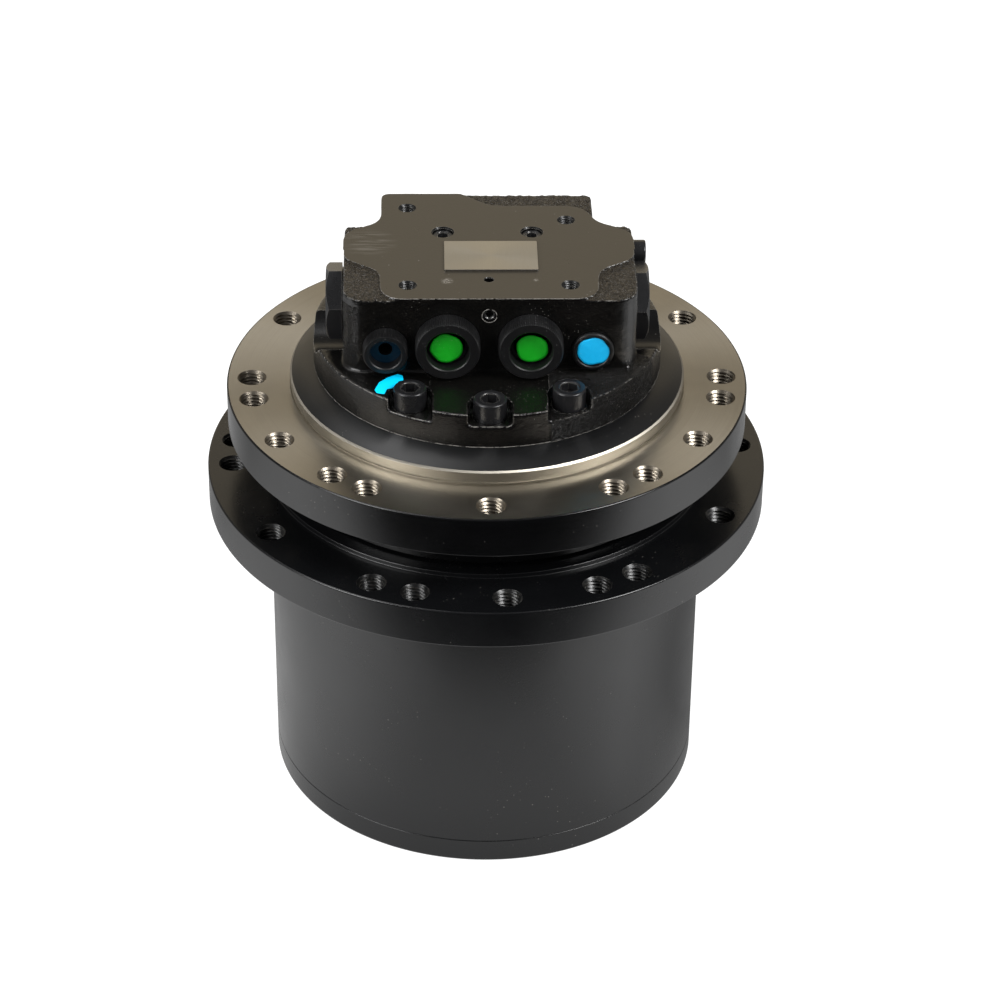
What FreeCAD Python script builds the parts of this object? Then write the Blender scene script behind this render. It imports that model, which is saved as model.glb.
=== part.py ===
import FreeCAD, Part
import math
import os
from FreeCAD import Vector

# Hydraulic final drive of a tracked machine, in millimetres.
# A sprocket drum turns on two taper roller bearings round a fixed hub that bolts to the machine frame.
# A two-stage planetary gear train in the drum is driven by an axial piston motor inside the hub, under a cast
# valve casing. Z is the drum's axis, up. The origin is the centre of the end cover's outer face. The travel
# ports look toward -Y.

# Fits between pieces
shaft_clearance = 0.05    # radial, a shaft turning in its bearing
seated = 0.02             # radial, a ring or pin fitted in its seat
film = 0.05               # axial, two sealing or rubbing faces that slide on each other
end_float = 1.5           # axial, between gears, carriers and washers that turn past each other

# Sprocket drum and end cover
drum_radius = 110.0
cover_thickness = 12.8
sprocket_hole_offset = 18.3    # from the drum's side to the hole circle
sprocket_flange_margin = 12.7  # from the hole circle to the rim
sprocket_flange_thickness = 20.1
collar_wall = 15.0
collar_height = 2.5
edge_chamfer = 1.0
cover_spigot_height = 5.0
cover_spigot_wall = 9.0
cover_screw_count = 16
cover_screw_radius = 3.0
cover_screw_head_radius = 5.0
cover_screw_head_height = 6.0
cover_screw_inset = 6.2        # from the drum's side to the screw circle
cover_screw_length = 20.0
cover_recess_depth = 6.8
screw_end_gap = 1.0
socket_share = 0.85            # of a screw's shank radius, to the socket's corners
oil_plug_radius = 9.0
oil_plug_circle = 62.0
oil_plug_depth = 8.0
oil_plug_recess = 1.0
oil_plug_socket = 5.0
oil_plug_angles = (90.0, 180.0, 270.0)
cover_gap = 6.9                # from the cover to the first planets' pins
thrust_pad_radius = 16.0
thrust_pad_thickness = 6.0

# Fixed hub, its machine-frame flange and its register
flange_gap = 22.1
frame_hole_offset = 19.2       # from the register's side to the hole circle
frame_flange_margin = 12.5     # from the hole circle to the rim
frame_flange_thickness = 21.0
register_radius = 98.3
register_height = 6.5
cone_height = 6.1
neck_wall = 7.0
labyrinth_gap = 1.0
hub_bore_radius = 24.0
motor_cavity_radius = 52.0
swash_cavity_radius = 47.0
spindle_radius = 62.5
spindle_thread_radius = 61.0
hub_floor_thickness = 25.0
seal_wall_gap = 2.0
bearing_shoulder_radius = 72.0

# Threaded holes in both flanges: one ring of twelve and one of nine share three holes
flange_hole_radius = 6.0
flange_hole_mouth_radius = 7.3
frame_hole_start = -90.0
sprocket_hole_start = -26.4
wide_ring_count = 12
narrow_ring_count = 9

# Gears: both stages share one ring gear
gear_module = 3.0
pressure_angle = 25.0
backlash = 0.5            # taken off each tooth's thickness at the pitch circle
ring_teeth = 60
stage1_sun_teeth = 12
stage2_sun_teeth = 16
stage1_planet_count = 3
stage2_planet_count = 4
stage1_face_width = 22.0
stage2_face_width = 28.0
ring_rim = 5.0
stage1_carrier_thickness = 12.0
stage2_carrier_thickness = 14.0
stage1_carrier_radius = 80.0
stage2_carrier_radius = 84.0
stage1_pin_radius = 9.0
stage2_pin_radius = 11.0
stage1_window_radius = 11.7
bush_wall = 4.0
washer_thickness = 1.5
washer_overlap = 6.0
pin_groove_depth = 1.0
pin_end = 1.5
sun_shaft_radius = 11.5
stage2_sun_bore_radius = 15.0
stage2_sun_seat_radius = 20.0
carrier_screw_radius = 4.0
carrier_screw_head_radius = 6.5
carrier_screw_head_height = 8.0
carrier_screw_circle = 42.0
carrier_screw_length = 24.0
carrier_screw_spread = 14.0

# Main bearings and their nut
bearing_width = 22.0
bearing_spacing = 7.5
bearing_outer_radius = 86.0
bearing_roller_radius = 5.0
bearing_roller_length = 15.0
bearing_roller_count = 22
bearing_roller_circle = 74.2
bearing_taper = 14.0
bearing_lip = 2.0
bearing_lip_gap = 2.0
nut_width = 10.0
nut_radius = 76.0
nut_slot_width = 8.0
nut_slot_depth = 4.0
spacer_shoulder_radius = 81.0

# Floating face seal between drum and hub
seal_ring_height = 6.5
seal_ring_outer_radius = 90.5
seal_ring_width = 6.5
seal_ring_lip = 2.0
seal_rubber_width = 6.5
seal_step_height = 2.0
rubber_gap = 0.2

# Axial piston motor inside the hub
motor_shaft_radius = 12.5
shaft_spigot_radius = 8.0
shaft_spigot_length = 16.0
shaft_bearing_width = 11.0
shaft_seal_width = 7.0
barrel_radius = 36.5
barrel_length = 58.0
barrel_end_wall = 7.25
valve_plate_thickness = 6.0
valve_plate_radius = 36.0
kidney_radius = 27.0
kidney_half_width = 3.5
kidney_span = 130.0
piston_count = 9
piston_radius = 7.5
piston_circle = 27.0
piston_length = 50.0
piston_hollow_radius = 3.75
piston_hollow_length = 30.0
piston_stick_out = 11.0
shoe_radius = 8.8
shoe_height = 3.5
shoe_neck_radius = 6.0
retainer_thickness = 3.0
retainer_inner_radius = 17.0
retainer_outer_radius = 38.5
retainer_hole_gap = 0.3
swash_radius = 44.0
swash_bore_radius = 18.0

# Parking brake round the cylinder barrel
brake_plate_thickness = 2.4
brake_plate_gap = 0.1
friction_disc_count = 3
friction_disc_radius = 49.5
steel_plate_inner_radius = 39.0
brake_piston_inner_radius = 39.5
brake_piston_skirt_radius = 49.0
brake_piston_head_height = 20.0
disc_spring_thickness = 2.0
disc_spring_rise = 1.5
disc_spring_gap = 0.5
brake_travel = 1.2

# Valve casing
casing_radius = 86.5
casing_base_height = 17.9
block_height = 38.0
pad_height = 2.9
front_face_y = -46.0
block_left_x = -70.5
block_right_x = 71.5
block_rear_y = 60.0
shoulder_rear_y = 27.0
tail_left_x = -52.6
tail_right_x = 53.0
block_corner = 11.0
tail_corner = 4.0
lobe_front_y = -6.0
lobe_rear_y = 19.0
lobe_overhang = 0.5            # of the pad past the block's sides
lobe_flare = 1.5
pad_corner = 12.0
pad_front_inset = 1.0
pad_rear_step = 13.0
pad_rear_inset = 6.0
pad_rear_right_x = 2.0
pad_rear_left_x = -13.0
casing_screw_inset = 10.2
casing_screw_radius = 5.0
casing_screw_head_radius = 8.0
casing_screw_head_height = 10.0
casing_screw_depth = 22.0
casing_screw_angles = (-120.0, -90.0, -60.0, 60.0, 90.0, 120.0)
screw_socket_radius = 4.6
screw_socket_depth = 5.0
screw_pocket_radius = 10.75
screw_pocket_depth = 6.3
shaft_bearing_radius = 20.0

# Ports on the casing's front face and their shipping caps
travel_port_x = 20.0
travel_port_z_above_ledge = 16.6
travel_port_radius = 10.0
travel_port_depth = 26.0
small_port_x = 50.0
drain_port_z_above_ledge = 14.0
pilot_port_z_above_ledge = 12.3
small_port_radius = 6.6
small_port_depth = 18.0
travel_cap_radius = 15.8
travel_cap_height = 9.2
travel_cap_opening = 10.2
drain_cap_radius = 11.0
drain_cap_height = 7.8
drain_cap_opening = 7.6
pilot_cap_radius = 10.2
pilot_cap_height = 2.5
cap_shank_length = 12.0
cap_wall = 1.6
cap_floor = 1.6
cap_rib_count = 36
cap_rib_depth = 0.5
cap_rib_share = 0.7            # of the cap's height
travel_disc_radius = 8.2
travel_disc_thickness = 1.0

# Counterbalance valve across the casing, behind the travel ports
spool_y = -5.0
spool_bore_radius = 9.0
spool_land_half_length = 22.0
spool_groove_radius = 6.0
spool_land_width = 10.0
spool_travel = 4.0
spool_spring_radius = 8.0
spool_spring_wall = 2.0
spring_end_gap = 0.1
plug_across_flats = 34.0
plug_turn = 18.4
plug_head_height = 7.2
plug_crown_drop = 2.0
plug_crown_inset = 2.8
plug_shank_radius = 13.0
plug_shank_length = 17.0
plug_pocket_radius = 25.5
passage_radius = 5.0

# Small plugs, threaded holes and the blank plate on the pad
pad_front_hole_x = 39.2
pad_front_hole_y = -32.9
pad_rear_left_hole = (-39.6, 45.2)
pad_rear_right_hole = (39.4, 32.4)
pad_hole_radius = 3.4
pad_hole_mouth_radius = 4.5
pad_hole_depth = 18.0
set_plug_x = 22.0
set_plug_y = 20.1
set_plug_radius = 5.0
set_plug_length = 10.0
set_plug_socket_radius = 2.9
dowel_hole_y = -27.5
dowel_hole_radius = 2.2
dowel_hole_depth = 10.0
face_plug_radius = 3.4
face_plug_socket_radius = 2.0
face_plug_above_port = 14.7
relief_plug_y = 18.0
relief_plug_drop = 7.2
relief_plug_radius = 6.0
relief_plug_shank_radius = 5.0
relief_plug_head = 6.9
relief_plug_shank = 14.0
plate_centre_x = 1.35
plate_centre_y = -5.15
plate_length = 45.5
plate_width = 28.7
plate_thickness = 1.0

# Radii that follow
sprocket_hole_circle = drum_radius + sprocket_hole_offset
sprocket_flange_radius = sprocket_hole_circle + sprocket_flange_margin
cover_screw_circle = drum_radius - cover_screw_inset
casing_screw_circle = casing_radius - casing_screw_inset
frame_hole_circle = register_radius + frame_hole_offset
frame_flange_radius = frame_hole_circle + frame_flange_margin
seal_ring_inner_radius = seal_ring_outer_radius - seal_ring_width
seal_rubber_radius = seal_ring_outer_radius + seal_rubber_width
seal_wall_radius = seal_ring_inner_radius - seal_wall_gap
collar_radius = seal_rubber_radius + collar_wall
neck_radius = seal_rubber_radius + neck_wall

# Heights of the gear train, from the end cover up
z_cover = cover_thickness
z_stage1_pin_end = z_cover + cover_gap
z_stage1 = z_stage1_pin_end + pin_end + washer_thickness + end_float / 2.0
z_stage1_top = z_stage1 + stage1_face_width
z_stage1_carrier = z_stage1_top + end_float
z_stage1_carrier_top = z_stage1_carrier + stage1_carrier_thickness
z_stage2_pin_end = z_stage1_carrier_top + end_float / 2.0
z_stage2 = z_stage2_pin_end + pin_end + washer_thickness + end_float / 2.0
z_stage2_top = z_stage2 + stage2_face_width
z_stage2_carrier = z_stage2_top + end_float
z_hub_end = z_stage2_carrier + stage2_carrier_thickness

# Heights of the bearings, the face seal and the flanges above it
z_nut = z_hub_end + end_float
z_lower_bearing = z_nut + nut_width
z_lower_bearing_top = z_lower_bearing + bearing_width
z_upper_bearing = z_lower_bearing_top + bearing_spacing
z_bearing_top = z_upper_bearing + bearing_width
z_seal_bottom = z_bearing_top + seal_step_height
z_seal = z_seal_bottom + seal_ring_height + film / 2.0
z_collar = z_seal + film / 2.0
z_sprocket_face = z_collar - collar_height
z_sprocket_flange = z_sprocket_face - sprocket_flange_thickness
z_frame_flange = z_collar + flange_gap
z_frame_face = z_frame_flange + frame_flange_thickness
z_register = z_frame_face + register_height
z_casing = z_register + cone_height
z_ledge = z_casing + casing_base_height
z_rough = z_ledge + block_height
z_pad = z_rough + pad_height

# Heights of the motor and the brake in the hub
z_cavity_floor = z_hub_end + hub_floor_thickness
z_valve_plate = z_casing - valve_plate_thickness
z_barrel_top = z_valve_plate - film
z_barrel = z_barrel_top - barrel_length
z_piston_end = z_barrel - piston_stick_out
z_shoe_top = z_piston_end - film
z_retainer = z_shoe_top - shaft_clearance - retainer_thickness - end_float
z_shoe_flange = z_retainer - film
z_shoe = z_shoe_flange - shoe_height
z_swash = z_shoe - film
z_brake_step = z_barrel + end_float
brake_pack_count = 2 * friction_disc_count + 1
z_brake_pack_top = z_brake_step + brake_pack_count * (brake_plate_thickness + brake_plate_gap)
z_brake_spring = z_casing - 2.0 * (disc_spring_thickness + disc_spring_rise)

# Gear sizes that follow from the tooth counts
stage1_planet_teeth = (ring_teeth - stage1_sun_teeth) // 2
stage2_planet_teeth = (ring_teeth - stage2_sun_teeth) // 2
stage1_centre = gear_module * (stage1_sun_teeth + stage1_planet_teeth) / 2.0
stage2_centre = gear_module * (stage2_sun_teeth + stage2_planet_teeth) / 2.0
addendum = gear_module
dedendum = 1.25 * gear_module
ring_root_radius = gear_module * ring_teeth / 2.0 + dedendum
ring_outer_radius = ring_root_radius + ring_rim
z_ring = z_cover + cover_spigot_height
z_ring_top = z_stage2_top + end_float

travel_port_z = z_ledge + travel_port_z_above_ledge
drain_port_z = z_ledge + drain_port_z_above_ledge
pilot_port_z = z_ledge + pilot_port_z_above_ledge

UP = Vector(0, 0, 1)
ORIGIN = Vector(0, 0, 0)


# Plain forms

def polar(radius, angle, z=0.0):
    """A point at a radius and an angle in degrees round the drum's axis."""
    turn = math.radians(angle)
    return Vector(radius * math.cos(turn), radius * math.sin(turn), z)


def disc(radius, bottom, top, centre=ORIGIN):
    """A solid cylinder standing between two heights."""
    return Part.makeCylinder(radius, top - bottom, Vector(centre.x, centre.y, bottom))


def ring(inner, outer, bottom, top, centre=ORIGIN):
    """A flat-ended tube between two heights."""
    return disc(outer, bottom, top, centre).cut(disc(inner, bottom, top, centre))


def rod_x(radius, x_from, x_to, y, z):
    """A cylinder along X."""
    return Part.makeCylinder(radius, x_to - x_from, Vector(x_from, y, z), Vector(1, 0, 0))


def rod_y(radius, y_from, y_to, x, z):
    """A cylinder along Y."""
    return Part.makeCylinder(radius, y_to - y_from, Vector(x, y_from, z), Vector(0, 1, 0))


def turned(profile):
    """A solid turned round the drum's axis from its half section, a list of (radius, height)."""
    points = [Vector(radius, 0, height) for radius, height in profile]
    section = Part.Face(Part.makePolygon(points + points[:1]))
    return section.revolve(ORIGIN, UP, 360)


def spun(shape, angle):
    """A copy of a shape turned round the drum's axis."""
    copy = shape.copy()
    copy.rotate(ORIGIN, UP, angle)
    return copy


def around(shape, angles):
    """Copies of a shape at a list of angles round the drum's axis."""
    return [spun(shape, angle) for angle in angles]


def evenly(count, start=0.0):
    """Angles that divide the circle."""
    return [start + 360.0 * index / count for index in range(count)]


def mirrored(shape):
    """The shape's mirror image across the plane between the travel ports."""
    return shape.mirror(ORIGIN, Vector(1, 0, 0))


def rounded_prism(corners, bottom, top):
    """A prism whose outline is a list of (x, y, radius), each corner rounded by a tangent arc."""
    edges = []
    ends = []
    count = len(corners)
    for index in range(count):
        here = Vector(corners[index][0], corners[index][1], bottom)
        before = Vector(corners[index - 1][0], corners[index - 1][1], bottom)
        after_corner = corners[(index + 1) % count]
        after = Vector(after_corner[0], after_corner[1], bottom)
        back = (before - here).normalize()
        ahead = (after - here).normalize()
        half = back.getAngle(ahead) / 2.0
        radius = corners[index][2]
        reach = radius / math.tan(half)
        middle = (back + ahead).normalize()
        centre = here + middle * (radius / math.sin(half))
        start = here + back * reach
        finish = here + ahead * reach
        edges.append(Part.Arc(start, centre - middle * radius, finish).toShape())
        ends.append((start, finish))
    outline = []
    for index in range(count):
        outline.append(edges[index])
        outline.append(Part.makeLine(ends[index][1], ends[(index + 1) % count][0]))
    face = Part.Face(Part.Wire(Part.__sortEdges__(outline)))
    return face.extrude(Vector(0, 0, top - bottom))


def save(node, *solids):
    """Write one sub-part, or a group of like solids, to its file."""
    shape = solids[0] if len(solids) == 1 else Part.makeCompound(list(solids))
    shape.exportStep("parts/" + node + ".step")


# Gears with involute flanks

def involute(angle):
    """The involute function of an angle in radians."""
    return math.tan(angle) - angle


def half_tooth(teeth, radius, thinning):
    """Half the angle that a tooth covers at a radius, in radians, for a tooth thinned at the pitch circle."""
    pitch_radius = gear_module * teeth / 2.0
    slope = math.radians(pressure_angle)
    base_radius = pitch_radius * math.cos(slope)
    at_pitch = math.pi / (2.0 * teeth) - thinning / (2.0 * pitch_radius)
    here = math.acos(min(1.0, base_radius / radius))
    return at_pitch + involute(slope) - involute(here)


def toothed_prism(teeth, root, tip, thinning, phase, bottom, top):
    """A prism with involute teeth, the first one centred on the phase angle in degrees."""
    pitch_radius = gear_module * teeth / 2.0
    base_radius = pitch_radius * math.cos(math.radians(pressure_angle))
    flank_start = max(root, base_radius)
    flank = [flank_start, (flank_start + pitch_radius) / 2.0, pitch_radius, (pitch_radius + tip) / 2.0, tip]
    points = []
    for tooth in range(teeth):
        middle = math.radians(phase) + 2.0 * math.pi * tooth / teeth
        rising = [(root, half_tooth(teeth, flank_start, thinning))]
        rising += [(radius, half_tooth(teeth, radius, thinning)) for radius in flank if radius > root]
        for radius, half in rising:
            points.append(polar(radius, math.degrees(middle - half), bottom))
        for radius, half in reversed(rising):
            points.append(polar(radius, math.degrees(middle + half), bottom))
    face = Part.Face(Part.makePolygon(points + points[:1]))
    return face.extrude(Vector(0, 0, top - bottom))


def gear(teeth, phase, bottom, top):
    """An outside gear round the drum's axis."""
    pitch_radius = gear_module * teeth / 2.0
    root = pitch_radius - dedendum
    return toothed_prism(teeth, root, pitch_radius + addendum, backlash / 2.0, phase, bottom, top)


def planet_phase(position, sun_teeth, planet_teeth, sun_phase):
    """The angle of a planet's first tooth when the planet at a position round the sun meshes with it."""
    sun_pitches = (sun_phase - position) * sun_teeth / 360.0
    return position + 180.0 + (0.5 - sun_pitches) * 360.0 / planet_teeth


# Phases that put both stages in mesh with one ring at rest
stage1_sun_phase = 0.0
first_planet_phase = planet_phase(0.0, stage1_sun_teeth, stage1_planet_teeth, stage1_sun_phase)
ring_space_phase = first_planet_phase * stage1_planet_teeth / ring_teeth
stage2_first_phase = ring_space_phase * ring_teeth / stage2_planet_teeth
stage2_planet_pitches = (stage2_first_phase - 180.0) * stage2_planet_teeth / 360.0
stage2_sun_phase = (0.5 - stage2_planet_pitches) * 360.0 / stage2_sun_teeth


def planet(teeth, sun_teeth, sun_phase, centre_distance, bore, position, bottom, top):
    """A planet gear at its position round the sun, bored for its bush."""
    blank = gear(teeth, planet_phase(position, sun_teeth, teeth, sun_phase), bottom, top)
    blank = blank.cut(disc(bore, bottom, top))
    blank.translate(polar(centre_distance, position))
    return blank


# Threaded hole rings of the two flanges

def flange_holes(circle, start, bottom, face):
    """Through holes with countersunk mouths: a ring of twelve and a ring of nine with some holes shared."""
    wide = evenly(wide_ring_count, start)
    narrow = evenly(narrow_ring_count, start)
    shared_step = math.gcd(wide_ring_count, narrow_ring_count)
    every = narrow_ring_count // shared_step
    angles = wide + [angle for index, angle in enumerate(narrow) if index % every]
    mouth_depth = flange_hole_mouth_radius - flange_hole_radius
    hole = disc(flange_hole_radius, bottom, face)
    mouth = Part.makeCone(
        flange_hole_radius, flange_hole_mouth_radius, mouth_depth, Vector(0, 0, face - mouth_depth)
    )
    tool = hole.fuse(mouth)
    tool.translate(Vector(circle, 0, 0))
    return around(tool, angles)


def sprocket_drum():
    """The turning outer housing, with the sprocket flange, the bearing bores and the face seal's seat."""
    seal_bore = seal_rubber_radius + seated
    cup_bore = bearing_outer_radius + seated
    ring_bore = ring_outer_radius + seated
    body = turned([
        (ring_bore, z_cover),
        (drum_radius, z_cover),
        (drum_radius, z_sprocket_flange),
        (sprocket_flange_radius - edge_chamfer, z_sprocket_flange),
        (sprocket_flange_radius, z_sprocket_flange + edge_chamfer),
        (sprocket_flange_radius, z_sprocket_face - edge_chamfer),
        (sprocket_flange_radius - edge_chamfer, z_sprocket_face),
        (collar_radius, z_sprocket_face),
        (collar_radius, z_collar - edge_chamfer),
        (collar_radius - edge_chamfer, z_collar),
        (seal_bore, z_collar),
        (seal_bore, z_seal_bottom),
        (cup_bore, z_seal_bottom),
        (cup_bore, z_upper_bearing),
        (spacer_shoulder_radius, z_upper_bearing),
        (spacer_shoulder_radius, z_lower_bearing_top),
        (cup_bore, z_lower_bearing_top),
        (cup_bore, z_ring_top),
        (ring_bore, z_ring_top),
    ])
    holes = flange_holes(sprocket_hole_circle, sprocket_hole_start, z_sprocket_flange, z_sprocket_face)
    at = polar(cover_screw_circle, 0.0)
    tapped = disc(cover_screw_radius + seated, z_cover, z_cover + cover_screw_length, at)
    bored = around(tapped, evenly(cover_screw_count))
    return body.cut(holes + bored)


def ring_gear():
    """The internal gear of both stages, a ring fitted in the drum and held by the end cover."""
    pitch_radius = gear_module * ring_teeth / 2.0
    blank = disc(ring_outer_radius, z_ring, z_ring_top)
    tip = pitch_radius - addendum
    spaces = toothed_prism(
        ring_teeth, tip, ring_root_radius, -backlash / 2.0, ring_space_phase, z_ring, z_ring_top
    )
    return blank.cut(spaces)


def end_cover():
    """The end cover: a plate as wide as the drum with a spigot, counterbored for its screws and oil plugs."""
    spigot_inner = ring_outer_radius - cover_spigot_wall
    plate = turned([
        (0.0, 0.0),
        (drum_radius - edge_chamfer, 0.0),
        (drum_radius, edge_chamfer),
        (drum_radius, z_cover),
        (ring_outer_radius, z_cover),
        (ring_outer_radius, z_ring),
        (spigot_inner, z_ring),
        (spigot_inner, z_cover),
        (0.0, z_cover),
    ])
    at = polar(cover_screw_circle, 0.0)
    shank_hole = disc(cover_screw_radius + seated, 0.0, z_cover, at)
    head_hole = disc(cover_screw_head_radius + seated, 0.0, cover_recess_depth, at)
    screw_holes = around(shank_hole.fuse(head_hole), evenly(cover_screw_count))
    plug_holes = []
    for angle in oil_plug_angles:
        plug_holes.append(disc(oil_plug_radius + seated, 0.0, z_cover, polar(oil_plug_circle, angle)))
    return plate.cut(screw_holes + plug_holes)


def socket_screw(radius, length, head_radius, head_height, socket_radius, socket_depth):
    """A socket head cap screw standing on the origin, its head above and its shank below."""
    shank = disc(radius, -length, 0.0)
    head = disc(head_radius, 0.0, head_height)
    corners = [polar(socket_radius, angle, head_height - socket_depth) for angle in evenly(6)]
    socket = Part.Face(Part.makePolygon(corners + corners[:1])).extrude(Vector(0, 0, socket_depth))
    return shank.fuse(head).cut(socket)


def hex_prism(radius, turn, bottom, top):
    """A hexagonal prism with its corners at a radius."""
    corners = [polar(radius, angle, bottom) for angle in evenly(6, turn)]
    return Part.Face(Part.makePolygon(corners + corners[:1])).extrude(Vector(0, 0, top - bottom))


def cover_screws():
    """The end cover's screws, heads down in their counterbores."""
    screw = socket_screw(
        cover_screw_radius,
        cover_screw_length - screw_end_gap,
        cover_screw_head_radius,
        cover_screw_head_height,
        cover_screw_radius * socket_share,
        cover_screw_head_height / 2.0,
    )
    screw.rotate(ORIGIN, Vector(1, 0, 0), 180)
    screw.translate(polar(cover_screw_circle, 0.0, cover_recess_depth))
    return around(screw, evenly(cover_screw_count))


def oil_plugs():
    """Fill, level and drain plugs, flush in the end cover, each with a hex socket."""
    plugs = []
    for angle in oil_plug_angles:
        top = oil_plug_recess + oil_plug_depth
        body = disc(oil_plug_radius, oil_plug_recess, top)
        body = body.cut(hex_prism(oil_plug_socket, 0.0, oil_plug_recess, top - oil_plug_depth / 2.0))
        body.translate(polar(oil_plug_circle, angle))
        plugs.append(body)
    return plugs


# Taper roller bearings: the two sit back to back with their small ends together

taper = math.tan(math.radians(bearing_taper))
roller_reach = bearing_roller_radius / math.cos(math.radians(bearing_taper))


def race_radius(height, middle, side, opening):
    """The radius of a roller's centre line, or of a race beside it. The cone opens toward opening."""
    line = bearing_roller_circle + opening * (height - middle) * taper
    return line + side * (roller_reach + shaft_clearance)


def bearing_inner_ring(bottom, opening):
    """The inner ring of a taper roller bearing, with a lip at the rollers' wide end."""
    top = bottom + bearing_width
    middle = (bottom + top) / 2.0
    half = bearing_roller_length / 2.0 * math.cos(math.radians(bearing_taper)) + bearing_lip_gap
    bore = spindle_radius + seated
    low = middle - half
    high = middle + half
    profile = [
        (bore, bottom),
        (race_radius(low, middle, -1, opening), bottom),
        (race_radius(low, middle, -1, opening), low),
        (race_radius(high, middle, -1, opening), high),
        (race_radius(high, middle, -1, opening), top),
        (bore, top),
    ]
    lip_height = low if opening < 0 else high
    lip_radius = race_radius(lip_height, middle, -1, opening) + bearing_lip
    lip = ring(bore, lip_radius, bottom, low) if opening < 0 else ring(bore, lip_radius, high, top)
    return turned(profile).fuse(lip).removeSplitter()


def bearing_outer_ring(bottom, opening):
    """The outer ring of a taper roller bearing."""
    top = bottom + bearing_width
    middle = (bottom + top) / 2.0
    return turned([
        (bearing_outer_radius, bottom),
        (bearing_outer_radius, top),
        (race_radius(top, middle, 1, opening), top),
        (race_radius(bottom, middle, 1, opening), bottom),
    ])


def bearing_rollers(bottom, opening):
    """One row of rollers, each leaning with the taper."""
    middle = bottom + bearing_width / 2.0
    foot = Vector(0, 0, -bearing_roller_length / 2.0)
    roller = Part.makeCylinder(bearing_roller_radius, bearing_roller_length, foot)
    roller.rotate(ORIGIN, Vector(0, 1, 0), opening * bearing_taper)
    roller.translate(Vector(bearing_roller_circle, 0, middle))
    return around(roller, evenly(bearing_roller_count))


def bearing_nut():
    """The slotted nut that sets the bearings' preload."""
    body = ring(spindle_thread_radius + seated, nut_radius, z_nut, z_lower_bearing)
    slot = Part.makeBox(nut_slot_depth, nut_slot_width, nut_width)
    slot.translate(Vector(nut_radius - nut_slot_depth, -nut_slot_width / 2.0, z_nut))
    return body.cut(around(slot, evenly(4)))


# Floating face seal: a metal ring on a rubber ring on each side, meeting face to face

def seal_ring(lower):
    """One metal seal ring, with a thin lip at its sealing face."""
    face = z_seal - film / 2.0 if lower else z_seal + film / 2.0
    way = -1.0 if lower else 1.0
    profile = [
        (seal_ring_inner_radius, face),
        (seal_ring_outer_radius + seal_ring_lip, face),
        (seal_ring_outer_radius + seal_ring_lip, face + way * seal_ring_lip / 2.0),
        (seal_ring_outer_radius, face + way * seal_ring_lip),
        (seal_ring_outer_radius, face + way * seal_ring_height),
        (seal_ring_inner_radius, face + way * seal_ring_height),
    ]
    return turned(profile)


def seal_rubber(lower):
    """One rubber ring between a seal ring and its housing."""
    way = -1.0 if lower else 1.0
    face = z_seal + way * (film / 2.0 + seal_ring_height)
    near = face - way * (seal_ring_height - seal_ring_lip - rubber_gap)
    far = face - way * rubber_gap
    inner = seal_ring_outer_radius + seated
    bevel = seal_rubber_width / 5.0
    return turned([
        (inner, near + way * bevel),
        (inner + bevel, near),
        (seal_rubber_radius - bevel, near),
        (seal_rubber_radius, near + way * bevel),
        (seal_rubber_radius, far - way * bevel),
        (seal_rubber_radius - bevel, far),
        (inner, far),
    ])


# Fixed hub

def frame_hub():
    """The fixed hub: frame flange and register above, bearing spindle below, the motor's bore inside."""
    seal_bore = seal_rubber_radius + seated
    z_seal_top = z_seal + film / 2.0 + seal_ring_height
    body = turned([
        (hub_bore_radius, z_hub_end),
        (spindle_thread_radius, z_hub_end),
        (spindle_thread_radius, z_lower_bearing),
        (spindle_radius, z_lower_bearing),
        (spindle_radius, z_bearing_top),
        (bearing_shoulder_radius, z_bearing_top),
        (bearing_shoulder_radius, z_seal_bottom),
        (seal_wall_radius, z_seal_bottom),
        (seal_wall_radius, z_seal_top),
        (seal_bore, z_seal_top),
        (seal_bore, z_collar + labyrinth_gap),
        (neck_radius, z_collar + labyrinth_gap),
        (neck_radius, z_frame_flange),
        (frame_flange_radius - edge_chamfer, z_frame_flange),
        (frame_flange_radius, z_frame_flange + edge_chamfer),
        (frame_flange_radius, z_frame_face - edge_chamfer),
        (frame_flange_radius - edge_chamfer, z_frame_face),
        (register_radius, z_frame_face),
        (register_radius, z_register),
        (casing_radius, z_casing),
        (motor_cavity_radius, z_casing),
        (motor_cavity_radius, z_brake_step),
        (swash_cavity_radius, z_brake_step),
        (swash_cavity_radius, z_cavity_floor),
        (hub_bore_radius, z_cavity_floor),
    ])
    holes = flange_holes(frame_hole_circle, frame_hole_start, z_frame_flange, z_frame_face)
    screw_hole = disc(
        casing_screw_radius + seated, z_casing - casing_screw_depth, z_casing, polar(casing_screw_circle, 0.0)
    )
    at = polar(carrier_screw_circle, 0.0)
    carrier_hole = disc(carrier_screw_radius + seated, z_hub_end, z_hub_end + carrier_screw_length, at)
    screw_holes = around(screw_hole, casing_screw_angles) + around(carrier_hole, carrier_screw_angles())
    return body.cut(holes + screw_holes)


def carrier_screw_angles():
    """Pairs of screws between the stage-two planets."""
    between = evenly(stage2_planet_count, 180.0 / stage2_planet_count)
    return [angle + side * carrier_screw_spread for angle in between for side in (-1.0, 1.0)]


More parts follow.
